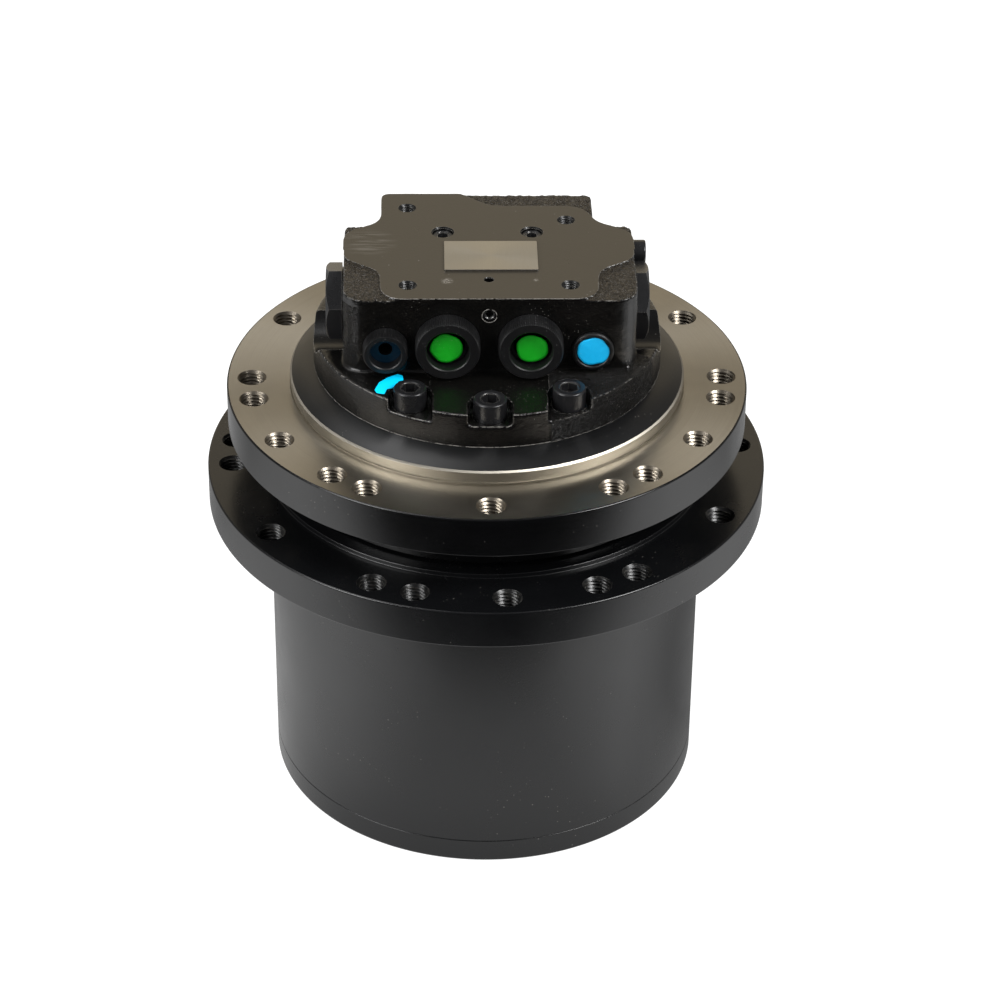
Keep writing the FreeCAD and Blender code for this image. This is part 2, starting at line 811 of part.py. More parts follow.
def stage2_carrier():
    """The fixed carrier of stage two, bolted under the hub, its planets hanging below."""
    bottom = z_stage2_carrier
    body = ring(hub_bore_radius, stage2_carrier_radius, bottom, z_hub_end)
    pin_hole = disc(stage2_pin_radius + seated, bottom, z_hub_end, polar(stage2_centre, 0.0))
    at = polar(carrier_screw_circle, 0.0)
    shank_hole = disc(carrier_screw_radius + seated, bottom, z_hub_end, at)
    head_hole = disc(carrier_screw_head_radius + seated, bottom, bottom + carrier_screw_head_height, at)
    screw_holes = around(shank_hole.fuse(head_hole), carrier_screw_angles())
    relief = ring(spindle_thread_radius, nut_radius + end_float, z_hub_end - end_float, z_hub_end)
    return body.cut(around(pin_hole, evenly(stage2_planet_count)) + screw_holes + [relief])


def stage2_carrier_screws():
    """Screws that clamp the stage-two carrier to the hub."""
    screw = socket_screw(
        carrier_screw_radius,
        stage2_carrier_thickness - carrier_screw_head_height + carrier_screw_length - screw_end_gap,
        carrier_screw_head_radius,
        carrier_screw_head_height,
        carrier_screw_radius * socket_share,
        carrier_screw_head_height / 2.0,
    )
    screw.rotate(ORIGIN, Vector(1, 0, 0), 180)
    screw.translate(polar(carrier_screw_circle, 0.0, z_stage2_carrier + carrier_screw_head_height))
    return around(screw, carrier_screw_angles())


def planet_pins(radius, centre_distance, count, bottom, top):
    """Planet pins through their carrier, each with a grooved lower end for its washer."""
    groove_bottom = bottom + pin_end
    pin = disc(radius, bottom, top)
    groove = ring(radius - pin_groove_depth, radius, groove_bottom, groove_bottom + washer_thickness)
    pin = pin.cut(groove)
    pin.translate(polar(centre_distance, 0.0))
    return around(pin, evenly(count))


def planet_washers(radius, centre_distance, count, bottom):
    """Split retaining washers snapped into the pins' grooves."""
    inner = radius - pin_groove_depth + seated
    outer = radius + washer_overlap
    washer = ring(inner, outer, bottom + seated, bottom + washer_thickness - seated)
    split = Part.makeBox(outer, radius, washer_thickness, Vector(0, -radius / 2.0, bottom))
    washer = washer.cut(split)
    washer.translate(polar(centre_distance, 0.0))
    return around(washer, evenly(count))


def planet_bushes(radius, centre_distance, count, bottom, top):
    """Bearing bushes fitted on the planet pins."""
    bush = ring(radius + seated, radius + bush_wall, bottom, top, polar(centre_distance, 0.0))
    return around(bush, evenly(count))


def stage1_carrier():
    """The floating carrier of stage one, with the stage-two sun seated in its middle."""
    bottom = z_stage1_carrier
    body = ring(stage2_sun_seat_radius + seated, stage1_carrier_radius, bottom, z_stage1_carrier_top)
    pin_hole = disc(stage1_pin_radius + seated, bottom, z_stage1_carrier_top, polar(stage1_centre, 0.0))
    between = polar(stage1_centre, 180.0 / stage1_planet_count)
    window = disc(stage1_window_radius, bottom, z_stage1_carrier_top, between)
    angles = evenly(stage1_planet_count)
    return body.cut(around(pin_hole, angles) + around(window, angles))


def stage2_sun():
    """The sun gear of stage two, hollow for the sun shaft."""
    seat = disc(stage2_sun_seat_radius, z_stage1_carrier, z_stage1_carrier_top)
    teeth = gear(stage2_sun_teeth, stage2_sun_phase, z_stage1_carrier_top, z_stage2_top)
    return seat.fuse(teeth).cut(disc(stage2_sun_bore_radius, z_stage1_carrier, z_stage2_top))


# Motor

z_shaft_joint = z_hub_end + end_float
z_shaft_top = z_casing + shaft_bearing_width + 2.0 * end_float


def sun_shaft():
    """The shaft of the stage-one sun gear, with a spigot that plugs into the motor shaft."""
    teeth = gear(stage1_sun_teeth, stage1_sun_phase, z_stage1, z_stage1_top)
    shaft = disc(sun_shaft_radius, z_stage1_top, z_shaft_joint)
    spigot = disc(shaft_spigot_radius, z_shaft_joint, z_shaft_joint + shaft_spigot_length)
    foot = disc(sun_shaft_radius, z_cover + thrust_pad_thickness + film, z_stage1)
    return teeth.fuse([shaft, spigot, foot])


def motor_shaft():
    """The motor's drive shaft."""
    body = disc(motor_shaft_radius, z_shaft_joint, z_shaft_top)
    socket_end = z_shaft_joint + shaft_spigot_length + end_float
    return body.cut(disc(shaft_spigot_radius + seated, z_shaft_joint, socket_end))


def shaft_bearings():
    """The two bearings of the drive shaft, in the casing above and in the hub below."""
    bore = motor_shaft_radius + shaft_clearance
    upper = z_casing + end_float
    lower = z_cavity_floor - shaft_bearing_width
    return [
        ring(bore, shaft_bearing_radius, upper, upper + shaft_bearing_width),
        ring(bore, hub_bore_radius - seated, lower, z_cavity_floor),
    ]


def shaft_seal():
    """The shaft seal, under the lower shaft bearing."""
    top = z_cavity_floor - shaft_bearing_width - end_float
    return ring(motor_shaft_radius + shaft_clearance, hub_bore_radius - seated, top - shaft_seal_width, top)


def cylinder_barrel():
    """The cylinder barrel, with nine bores and a port to each through its top face."""
    body = ring(motor_shaft_radius + seated, barrel_radius, z_barrel, z_barrel_top)
    at = polar(piston_circle, 0.0)
    bore = disc(piston_radius + shaft_clearance, z_barrel, z_barrel_top - barrel_end_wall, at)
    port = disc(kidney_half_width, z_barrel, z_barrel_top, at)
    return body.cut(around(bore.fuse(port), evenly(piston_count)))


def pistons():
    """Nine hollow pistons."""
    at = polar(piston_circle, 0.0)
    top = z_piston_end + piston_length
    piston = disc(piston_radius, z_piston_end, top, at)
    hollow = disc(piston_hollow_radius, top - piston_hollow_length, top, at)
    return around(piston.cut(hollow), evenly(piston_count))


def piston_shoes():
    """Nine piston shoes: a flat that slides on the swash plate and a neck up to the piston."""
    at = polar(piston_circle, 0.0)
    foot = disc(shoe_radius, z_shoe, z_shoe_flange, at)
    neck = disc(shoe_neck_radius, z_shoe_flange, z_shoe_top, at)
    return around(foot.fuse(neck), evenly(piston_count))


def retainer_plate():
    """The plate that holds the shoes down."""
    top = z_retainer + retainer_thickness
    body = ring(retainer_inner_radius, retainer_outer_radius, z_retainer, top)
    hole = disc(shoe_neck_radius + retainer_hole_gap, z_retainer, top, polar(piston_circle, 0.0))
    return body.cut(around(hole, evenly(piston_count)))


def swash_plate():
    """The swash plate at neutral, its back a cradle segment that rocks about X."""
    thickness = z_swash - z_cavity_floor
    plate = ring(swash_bore_radius, swash_radius, z_cavity_floor, z_swash)
    cradle_radius = (swash_radius ** 2 + thickness ** 2) / thickness
    cradle = rod_x(cradle_radius, -swash_radius, swash_radius, 0.0, z_cavity_floor + cradle_radius)
    return plate.common(cradle)


def valve_plate():
    """The port plate between barrel and casing, with two kidney slots."""
    plate = ring(motor_shaft_radius + end_float, valve_plate_radius, z_valve_plate, z_casing)
    slots = []
    for middle in (0.0, 180.0):
        track = turned([
            (kidney_radius - kidney_half_width, z_valve_plate),
            (kidney_radius + kidney_half_width, z_valve_plate),
            (kidney_radius + kidney_half_width, z_casing),
            (kidney_radius - kidney_half_width, z_casing),
        ])
        wedge = sector(middle - kidney_span / 2.0, middle + kidney_span / 2.0, z_valve_plate, z_casing)
        slots.append(track.common(wedge))
    return plate.cut(slots)


def sector(start, end, bottom, top):
    """A wedge between two angles, wider than the valve plate."""
    reach = 2.0 * valve_plate_radius
    middle = (start + end) / 2.0
    points = [Vector(0, 0, bottom)]
    points += [polar(reach, angle, bottom) for angle in (start, middle, end)]
    return Part.Face(Part.makePolygon(points + points[:1])).extrude(Vector(0, 0, top - bottom))


def brake_discs(first, step, inner, outer):
    """Every other disc of the brake pack, counted from its bottom."""
    pitch = brake_plate_thickness + brake_plate_gap
    discs = []
    for place in range(first, brake_pack_count, step):
        bottom = z_brake_step + place * pitch
        discs.append(ring(inner, outer, bottom, bottom + brake_plate_thickness))
    return discs


def brake_piston():
    """The ring piston that its springs press on the brake pack, lifted by oil to let the shaft turn."""
    bore = motor_cavity_radius - shaft_clearance
    head = z_brake_spring - brake_piston_head_height
    return turned([
        (brake_piston_inner_radius, z_brake_pack_top),
        (brake_piston_skirt_radius, z_brake_pack_top),
        (brake_piston_skirt_radius, head),
        (bore, head),
        (bore, z_brake_spring),
        (brake_piston_inner_radius, z_brake_spring),
    ])


def disc_springs():
    """Two disc springs, set against each other between brake piston and casing."""
    inner = brake_piston_inner_radius + disc_spring_gap
    outer = motor_cavity_radius - disc_spring_gap
    springs = []
    for index, rise in enumerate((disc_spring_rise, -disc_spring_rise)):
        bottom = z_brake_spring + index * (disc_spring_thickness + disc_spring_rise)
        low_inner = bottom + max(rise, 0.0)
        low_outer = bottom + max(-rise, 0.0)
        springs.append(turned([
            (inner, low_inner),
            (outer, low_outer),
            (outer, low_outer + disc_spring_thickness),
            (inner, low_inner + disc_spring_thickness),
        ]))
    return springs


# Valve casing

def pad_outline():
    """The machined pad's corners, as (x, y, rounding): a waisted plate with a lobe on each side."""
    rear_y = block_rear_y - pad_rear_step
    left = block_left_x - lobe_overhang
    right = block_right_x + lobe_overhang
    return [
        (tail_left_x + pad_front_inset, front_face_y, block_corner),
        (tail_right_x - pad_front_inset, front_face_y, block_corner),
        (tail_right_x, lobe_front_y - pad_corner, pad_corner),
        (right, lobe_front_y, pad_corner),
        (right, lobe_rear_y, pad_corner),
        (tail_right_x + lobe_flare, lobe_rear_y + pad_corner, pad_corner),
        (tail_right_x - pad_rear_inset, rear_y, pad_corner),
        (pad_rear_right_x, rear_y, pad_corner),
        (pad_rear_left_x, block_rear_y, tail_corner),
        (tail_left_x, block_rear_y, tail_corner),
        (tail_left_x, lobe_rear_y + pad_corner, pad_corner),
        (left, lobe_rear_y, pad_corner),
        (left, lobe_front_y, pad_corner),
        (tail_left_x, lobe_front_y - pad_corner, pad_corner),
    ]


def motor_casing():
    """The cast casing: a round base, the port block on it, the machined pad on top, and its bores."""
    base = disc(casing_radius, z_casing, z_ledge)
    shoulders = rounded_prism([
        (block_left_x, front_face_y, block_corner),
        (block_right_x, front_face_y, block_corner),
        (block_right_x, shoulder_rear_y, block_corner),
        (block_left_x, shoulder_rear_y, block_corner),
    ], z_ledge, z_rough)
    tail = rounded_prism([
        (tail_left_x, front_face_y + block_corner, tail_corner),
        (tail_right_x, front_face_y + block_corner, tail_corner),
        (tail_right_x, block_rear_y, tail_corner),
        (tail_left_x, block_rear_y, tail_corner),
    ], z_ledge, z_rough)
    pad = rounded_prism(pad_outline(), z_rough, z_pad)
    solid = base.fuse([shoulders, tail, pad]).removeSplitter()

    cuts = []
    pocket_floor = z_ledge - screw_pocket_depth
    at = polar(casing_screw_circle, 0.0)
    pocket = disc(screw_pocket_radius, pocket_floor, z_pad, at)
    mouth = Part.makeBox(
        casing_radius,
        2.0 * screw_pocket_radius,
        z_pad - pocket_floor,
        Vector(casing_screw_circle, -screw_pocket_radius, pocket_floor),
    )
    shank_hole = disc(casing_screw_radius + seated, z_casing, pocket_floor, at)
    cuts += around(pocket.fuse([mouth, shank_hole]), casing_screw_angles)

    cuts.append(disc(shaft_bearing_radius + seated, z_casing, z_shaft_top + end_float))
    port_floor_y = front_face_y + travel_port_depth
    for x, kidney_x in ((-travel_port_x, -kidney_radius), (travel_port_x, kidney_radius)):
        cuts.append(rod_y(travel_port_radius, front_face_y, port_floor_y, x, travel_port_z))
        cuts.append(rod_y(passage_radius, front_face_y, spool_y, x, travel_port_z))
        cuts.append(disc(passage_radius, z_casing, travel_port_z, Vector(kidney_x, spool_y, 0)))
    for x, z in ((-small_port_x, drain_port_z), (small_port_x, pilot_port_z)):
        cuts.append(rod_y(small_port_radius, front_face_y, front_face_y + small_port_depth, x, z))

    cuts.append(rod_x(spool_bore_radius, block_left_x, block_right_x, spool_y, travel_port_z))
    for face, way in ((block_left_x, 1.0), (block_right_x, -1.0)):
        for radius, end in (
            (plug_shank_radius + seated, face + way * plug_shank_length),
            (plug_pocket_radius, face - way * casing_radius),
        ):
            cuts.append(rod_x(radius, min(face, end), max(face, end), spool_y, travel_port_z))

    for x, y in pad_holes():
        cuts.append(disc(pad_hole_radius, z_pad - pad_hole_depth, z_pad, Vector(x, y, 0)))
        cuts.append(mouth_cone(pad_hole_radius, pad_hole_mouth_radius, x, y))
    for x in (-set_plug_x, set_plug_x):
        cuts.append(disc(set_plug_radius + seated, z_pad - set_plug_length, z_pad, Vector(x, set_plug_y, 0)))
    cuts.append(disc(dowel_hole_radius, z_pad - dowel_hole_depth, z_pad, Vector(0, dowel_hole_y, 0)))
    face_plug_z = travel_port_z + face_plug_above_port
    face_plug_end = front_face_y + set_plug_length
    cuts.append(rod_y(face_plug_radius + seated, front_face_y, face_plug_end, 0.0, face_plug_z))
    relief_z = z_rough - relief_plug_drop
    relief_bore = relief_plug_shank_radius + seated
    cuts.append(rod_x(relief_bore, block_right_x - relief_plug_shank, block_right_x, relief_plug_y, relief_z))
    return solid.cut(cuts)


def pad_holes():
    """Places of the four threaded holes in the pad."""
    return [
        (-pad_front_hole_x, pad_front_hole_y),
        (pad_front_hole_x, pad_front_hole_y),
        pad_rear_left_hole,
        pad_rear_right_hole,
    ]


def mouth_cone(radius, mouth_radius, x, y):
    """The countersunk mouth of a hole in the pad."""
    depth = mouth_radius - radius
    return Part.makeCone(radius, mouth_radius, depth, Vector(x, y, z_pad - depth))


def casing_screws():
    """The cap screws that clamp the casing to the hub."""
    pocket_floor = z_ledge - screw_pocket_depth
    screw = socket_screw(
        casing_screw_radius,
        pocket_floor - z_casing + casing_screw_depth - screw_end_gap,
        casing_screw_head_radius,
        casing_screw_head_height,
        screw_socket_radius,
        screw_socket_depth,
    )
    screw.translate(polar(casing_screw_circle, 0.0, pocket_floor))
    return around(screw, casing_screw_angles)


def set_plug(radius, length, socket_radius):
    """A socket set plug standing on the origin, its socket up."""
    return disc(radius, 0.0, length).cut(hex_prism(socket_radius, 0.0, length / 2.0, length))


def passage_plugs():
    """Socket plugs that close drilled passages: two in the pad and one in the front face."""
    length = set_plug_length - end_float
    plugs = []
    for x in (-set_plug_x, set_plug_x):
        plug = set_plug(set_plug_radius, length, set_plug_socket_radius)
        plug.translate(Vector(x, set_plug_y, z_pad - set_plug_length))
        plugs.append(plug)
    face = set_plug(face_plug_radius, length, face_plug_socket_radius)
    face.rotate(ORIGIN, Vector(1, 0, 0), 90)
    face.translate(Vector(0, front_face_y + set_plug_length, travel_port_z + face_plug_above_port))
    return plugs + [face]


def counterbalance_plug():
    """The hexagon plug at the right end of the counterbalance spool's bore."""
    corner = plug_across_flats / math.sqrt(3.0)
    head = hex_prism(corner, 0.0, 0.0, plug_head_height)
    crown = turned([
        (0.0, 0.0),
        (corner, 0.0),
        (corner, plug_head_height - plug_crown_drop),
        (corner - plug_crown_inset, plug_head_height),
        (0.0, plug_head_height),
    ])
    head = head.common(crown)
    shank = disc(plug_shank_radius, -plug_shank_length + end_float, 0.0)
    plug = head.fuse(shank)
    plug.rotate(ORIGIN, UP, plug_turn)
    plug.rotate(ORIGIN, Vector(0, 1, 0), 90)
    plug.translate(Vector(block_right_x, spool_y, travel_port_z))
    return plug


def counterbalance_plug_left():
    """The hexagon plug at the other end of the bore."""
    plug = mirrored(counterbalance_plug())
    plug.translate(Vector(block_right_x + block_left_x, 0, 0))
    return plug


def counterbalance_spool():
    """The counterbalance spool: three lands on a thinner core."""
    core = rod_x(spool_groove_radius, -spool_land_half_length, spool_land_half_length, spool_y, travel_port_z)
    radius = spool_bore_radius - shaft_clearance
    half = spool_land_width / 2.0
    outer = spool_land_half_length - half
    lands = [rod_x(radius, x - half, x + half, spool_y, travel_port_z) for x in (-outer, 0.0, outer)]
    return core.fuse(lands)


def counterbalance_spring(face, way):
    """A centring spring between spool and plug, drawn as a sleeve, pointing inward from a face."""
    plug_end = face + way * (plug_shank_length - end_float)
    spool_end = -way * spool_land_half_length
    low = min(plug_end, spool_end) + spring_end_gap
    high = max(plug_end, spool_end) - spring_end_gap
    sleeve = rod_x(spool_spring_radius, low, high, spool_y, travel_port_z)
    hollow = rod_x(spool_spring_radius - spool_spring_wall, low, high, spool_y, travel_port_z)
    return sleeve.cut(hollow)


def relief_plug():
    """The small round plug of the relief valve, on the right behind the lobe."""
    z = z_rough - relief_plug_drop
    head = rod_x(relief_plug_radius, block_right_x, block_right_x + relief_plug_head, relief_plug_y, z)
    shank_end = block_right_x - relief_plug_shank + screw_end_gap
    shank = rod_x(relief_plug_shank_radius, shank_end, block_right_x, relief_plug_y, z)
    return head.fuse(shank)


def shipping_cap(radius, height, opening, shank_radius, x, z, ribs):
    """A shipping cap in a port: an open cup with a shank in the port and a floor across it."""
    front = front_face_y - height
    flange = rod_y(radius, front, front_face_y, x, z)
    if ribs:
        rib_width = math.pi * radius / cap_rib_count
        groove = Part.makeBox(rib_width, height * cap_rib_share, cap_rib_depth * 2.0)
        groove.translate(Vector(-rib_width / 2.0, front, radius - cap_rib_depth))
        grooves = []
        for angle in evenly(cap_rib_count):
            cut = groove.copy()
            cut.rotate(ORIGIN, Vector(0, 1, 0), angle)
            cut.translate(Vector(x, 0, z))
            grooves.append(cut)
        flange = flange.cut(grooves)
    shank_end = front_face_y + cap_shank_length
    shank = rod_y(shank_radius - seated, front_face_y, shank_end, x, z)
    mouth = rod_y(opening, front, front_face_y - cap_wall, x, z)
    well = rod_y(shank_radius - seated - cap_wall, front_face_y - cap_wall, shank_end - cap_floor, x, z)
    return flange.fuse(shank).cut([mouth, well])


def travel_cap_discs():
    """The coloured discs laid in the travel port caps."""
    back = front_face_y - cap_wall
    front = back - travel_disc_thickness
    return [rod_y(travel_disc_radius, front, back, x, travel_port_z) for x in (-travel_port_x, travel_port_x)]


def name_plate():
    """The blank plate on the pad."""
    corner = Vector(plate_centre_x - plate_length / 2.0, plate_centre_y - plate_width / 2.0, z_pad)
    return Part.makeBox(plate_length, plate_width, plate_thickness, corner)


os.makedirs("parts", exist_ok=True)

# Turning side: drum, ring gear and cover
save("sprocket_drum", sprocket_drum())
save("ring_gear", ring_gear())
save("end_cover", end_cover())
save("cover_screws", *cover_screws())
save("oil_plugs", *oil_plugs())
save("thrust_pad", disc(thrust_pad_radius, z_cover, z_cover + thrust_pad_thickness))
save("bearing_outer_rings", bearing_outer_ring(z_upper_bearing, 1), bearing_outer_ring(z_lower_bearing, -1))
save("upper_bearing_rollers", *bearing_rollers(z_upper_bearing, 1))
save("lower_bearing_rollers", *bearing_rollers(z_lower_bearing, -1))
save("drum_seal_ring", seal_ring(True))
save("drum_seal_rubber", seal_rubber(True))

# Fixed side: hub, bearings' inner rings and the stage-two carrier
save("frame_hub", frame_hub())
save("hub_seal_ring", seal_ring(False))
save("hub_seal_rubber", seal_rubber(False))
save("bearing_inner_rings", bearing_inner_ring(z_upper_bearing, 1), bearing_inner_ring(z_lower_bearing, -1))
save("bearing_nut", bearing_nut())
save("stage2_carrier", stage2_carrier())
save("stage2_carrier_screws", *stage2_carrier_screws())
save("stage2_planet_pins", *planet_pins(
    stage2_pin_radius, stage2_centre, stage2_planet_count, z_stage2_pin_end, z_hub_end
))
save("stage2_pin_washers", *planet_washers(
    stage2_pin_radius, stage2_centre, stage2_planet_count, z_stage2_pin_end + pin_end
))
save("stage2_planet_bushes", *planet_bushes(
    stage2_pin_radius, stage2_centre, stage2_planet_count, z_stage2, z_stage2_top
))
for index, angle in enumerate(evenly(stage2_planet_count)):
    save("stage2_planet_" + str(index + 1), planet(
        stage2_planet_teeth, stage2_sun_teeth, stage2_sun_phase, stage2_centre,
        stage2_pin_radius + bush_wall + shaft_clearance, angle, z_stage2, z_stage2_top,
    ))

# Stage-one carrier with its planets and the stage-two sun
save("stage1_carrier", stage1_carrier())
save("stage2_sun", stage2_sun())
save("stage1_planet_pins", *planet_pins(
    stage1_pin_radius, stage1_centre, stage1_planet_count, z_stage1_pin_end, z_stage1_carrier_top
))
save("stage1_pin_washers", *planet_washers(
    stage1_pin_radius, stage1_centre, stage1_planet_count, z_stage1_pin_end + pin_end
))
save("stage1_planet_bushes", *planet_bushes(
    stage1_pin_radius, stage1_centre, stage1_planet_count, z_stage1, z_stage1_top
))
for index, angle in enumerate(evenly(stage1_planet_count)):
    save("stage1_planet_" + str(index + 1), planet(
        stage1_planet_teeth, stage1_sun_teeth, stage1_sun_phase, stage1_centre,
        stage1_pin_radius + bush_wall + shaft_clearance, angle, z_stage1, z_stage1_top,
    ))

# Motor and brake
save("sun_shaft", sun_shaft())
save("motor_shaft", motor_shaft())
save("cylinder_barrel", cylinder_barrel())
save("pistons", *pistons())
save("piston_shoes", *piston_shoes())
save("retainer_plate", retainer_plate())
save("swash_plate", swash_plate())
save("valve_plate", valve_plate())
save("shaft_bearings", *shaft_bearings())
save("shaft_seal", shaft_seal())
save("brake_steel_plates", *brake_discs(0, 2, steel_plate_inner_radius, motor_cavity_radius - seated))
save("brake_friction_discs", *brake_discs(1, 2, barrel_radius + seated, friction_disc_radius))
save("brake_piston", brake_piston())
save("brake_springs", *disc_springs())

# Valve casing and what is on it
save("motor_casing", motor_casing())
save("casing_screws", *casing_screws())
save("passage_plugs", *passage_plugs())
save("counterbalance_plugs", counterbalance_plug_left(), counterbalance_plug())
save("counterbalance_spool", counterbalance_spool())
save("counterbalance_spring_left", counterbalance_spring(block_left_x, 1.0))
save("counterbalance_spring_right", counterbalance_spring(block_right_x, -1.0))
save("relief_plug", relief_plug())
travel_caps = []
for x in (-travel_port_x, travel_port_x):
    travel_caps.append(shipping_cap(
        travel_cap_radius, travel_cap_height, travel_cap_opening, travel_port_radius, x, travel_port_z, True
    ))
save("travel_port_caps", *travel_caps)
save("travel_cap_discs", *travel_cap_discs())
save("drain_port_cap", shipping_cap(
    drain_cap_radius, drain_cap_height, drain_cap_opening, small_port_radius,
    -small_port_x, drain_port_z, True,
))
pilot_cap_opening = small_port_radius + cap_wall
save("pilot_port_cap", shipping_cap(
    pilot_cap_radius, pilot_cap_height, pilot_cap_opening, small_port_radius,
    small_port_x, pilot_port_z, False,
))
save("name_plate", name_plate())
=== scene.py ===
import math

import bmesh
import bpy
from mathutils import Matrix, Vector, noise
from mathutils.bvhtree import BVHTree


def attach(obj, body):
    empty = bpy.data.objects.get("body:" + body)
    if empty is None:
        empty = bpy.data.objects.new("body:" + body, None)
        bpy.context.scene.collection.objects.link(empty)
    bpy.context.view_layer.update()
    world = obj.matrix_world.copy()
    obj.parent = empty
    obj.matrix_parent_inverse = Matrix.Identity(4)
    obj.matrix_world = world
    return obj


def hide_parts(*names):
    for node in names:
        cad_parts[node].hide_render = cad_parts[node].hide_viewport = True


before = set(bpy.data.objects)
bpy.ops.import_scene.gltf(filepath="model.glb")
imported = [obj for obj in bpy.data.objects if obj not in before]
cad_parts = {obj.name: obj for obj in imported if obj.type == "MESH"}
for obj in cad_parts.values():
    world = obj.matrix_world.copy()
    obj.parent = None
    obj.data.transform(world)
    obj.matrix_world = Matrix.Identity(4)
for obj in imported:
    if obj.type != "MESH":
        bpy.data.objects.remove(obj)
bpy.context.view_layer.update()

mm = 0.001
bpy.context.scene.view_settings.view_transform = "Standard"


# The viewpoint. A long lens looks down on the drive from just left of its front, a little rolled, with the
# drive slightly left of and below the middle of the picture. Sizes in this file are millimetres unless mm
# is in them.
view_target = Vector((0.0, 0.0, 139.51 * mm))
view_distance = 1726.3 * mm
view_turn = math.radians(-1.25)
view_elevation = math.radians(33.444)
view_roll = math.radians(0.501)

toward_camera = Vector((
    math.sin(view_turn) * math.cos(view_elevation),
    -math.cos(view_turn) * math.cos(view_elevation),
    math.sin(view_elevation),
))
level_right = Vector((0.0, 0.0, 1.0)).cross(toward_camera).normalized()
level_up = toward_camera.cross(level_right)
rolled_right = level_right * math.cos(view_roll) + level_up * math.sin(view_roll)
rolled_up = level_up * math.cos(view_roll) - level_right * math.sin(view_roll)

lens = bpy.data.cameras.new("studio_camera")
lens.lens = 120.83
lens.sensor_width = 36.0
lens.shift_x = 0.01434
lens.shift_y = 0.01361
camera = bpy.data.objects.new("studio_camera", lens)
bpy.context.scene.collection.objects.link(camera)
camera.matrix_world = Matrix.Translation(view_target + toward_camera * view_distance) @ Matrix((
    rolled_right, rolled_up, toward_camera
)).transposed().to_4x4()
bpy.context.scene.camera = camera


# Sprocket drum: the turning housing, one steel casting turned all over and painted satin black. Its flange
# takes the sprocket on two rings of tapped M14 holes, and its bore holds the ring gear, the bearings and
# the face seal.
drum_radius = 110.0
cover_seam = 12.8
flange_under = 155.9
flange_top = 176.0
flange_radius = 141.0
collar_radius = 112.0
collar_top = 178.5
seal_bore = 97.02
seal_floor = 171.95
bearing_bore = 86.02
bearing_shoulder = 81.0
upper_bearing_floor = 147.95
lower_bearing_roof = 140.45
ring_gear_roof = 92.95
ring_gear_bore = 98.77
tapped_radius = 6.0
thread_height = 0.95
thread_pitch = 2.0
thread_mouth = 7.35
wide_ring = 12
narrow_ring = 9
sprocket_hole_circle = 128.3
sprocket_hole_start = -26.4


def softened(outline):
    """The corners of a section, each turned into an arc.

    A corner is (radius, height, rounding, finish of the run that follows). The last two are nought if left out.
    """
    soft = []
    rows = [(*row, 0.0, 0) if len(row) == 2 else (*row, 0)[:4] for row in outline]
    count = len(rows)
    for index, (radius, height, rounding, finish) in enumerate(rows):
        here = Vector((radius, height))
        before = Vector(rows[index - 1][:2]) - here
        after = Vector(rows[(index + 1) % count][:2]) - here
        if rounding == 0.0:
            soft.append((here, finish))
            continue
        half = before.angle(after) / 2.0
        reach = rounding / math.tan(half)
        centre = here + (before.normalized() + after.normalized()).normalized() * (rounding / math.sin(half))
        first = here + before.normalized() * reach - centre
        last = here + after.normalized() * reach - centre
        sweep = first.angle_signed(last)
        steps = max(2, round(abs(sweep) / math.radians(18.0)))
        for step in range(steps + 1):
            turn = -sweep * step / steps
            arm = Vector((
                first.x * math.cos(turn) - first.y * math.sin(turn),
                first.x * math.sin(turn) + first.y * math.cos(turn),
            ))
            soft.append((centre + arm, finish))
    return soft


def new_piece(name, points, faces, finishes, numbers=0):
    """A smooth-shaded mesh piece in the scene, from points in millimetres. Numbers pick the faces' finishes."""
    mesh = bpy.data.meshes.new(name)
    mesh.from_pydata([Vector(point) * mm for point in points], [], faces)
    for finish in finishes:
        mesh.materials.append(finish)
    if isinstance(numbers, int):
        numbers = [numbers] * len(faces)
    mesh.polygons.foreach_set("material_index", numbers)
    mesh.polygons.foreach_set("use_smooth", [True] * len(faces))
    piece = bpy.data.objects.new(name, mesh)
    bpy.context.scene.collection.objects.link(piece)
    return piece


def ring(radius, level, steps):
    """Points on a level circle about Z."""
    turns = [2.0 * math.pi * step / steps for step in range(steps)]
    return [(radius * math.cos(turn), radius * math.sin(turn), level) for turn in turns]


def bands(count, steps, start=0):
    """The faces between rings of points that follow one another."""
    faces = []
    for low in range(start, start + count * steps, steps):
        for step in range(steps):
            across = (step + 1) % steps
            faces.append([low + step, low + across, low + steps + across, low + steps + step])
    return faces


def tube(name, points, steps, finishes, number):
    """A closed piece from rings of points, its two ends filled."""
    last = len(points) - steps
    faces = [list(range(steps)), list(range(last, last + steps))] + bands(last // steps, steps)
    piece = new_piece(name, points, faces, finishes, number)
    face_outward(piece)
    return piece


def turned(name, outline, finishes, steps=180, closed=True):
    """A piece turned on a lathe about Z from its section, in millimetres. Open sections end on the axis."""
    section = softened(outline)
    points = []
    rows = []
    for point, _ in section:
        if point.x < 1e-6:
            rows.append([len(points)] * steps)
            points.append((0.0, 0.0, point.y))
            continue
        rows.append(list(range(len(points), len(points) + steps)))
        points += ring(point.x, point.y, steps)
    faces = []
    numbers = []
    for index in range(len(rows) if closed else len(rows) - 1):
        low = rows[index]
        high = rows[(index + 1) % len(rows)]
        for step in range(steps):
            corner = [low[step], low[(step + 1) % steps], high[(step + 1) % steps], high[step]]
            face = list(dict.fromkeys(corner))
            if len(face) > 2:
                faces.append(face)
                numbers.append(section[index][1])
    piece = new_piece(name, points, faces, finishes, numbers)
    face_outward(piece)
    return piece


def face_outward(piece):
    """Turn a closed mesh's faces outward."""
    shape = bmesh.new()
    shape.from_mesh(piece.data)
    bmesh.ops.recalc_face_normals(shape, faces=shape.faces)
    shape.to_mesh(piece.data)
    shape.free()


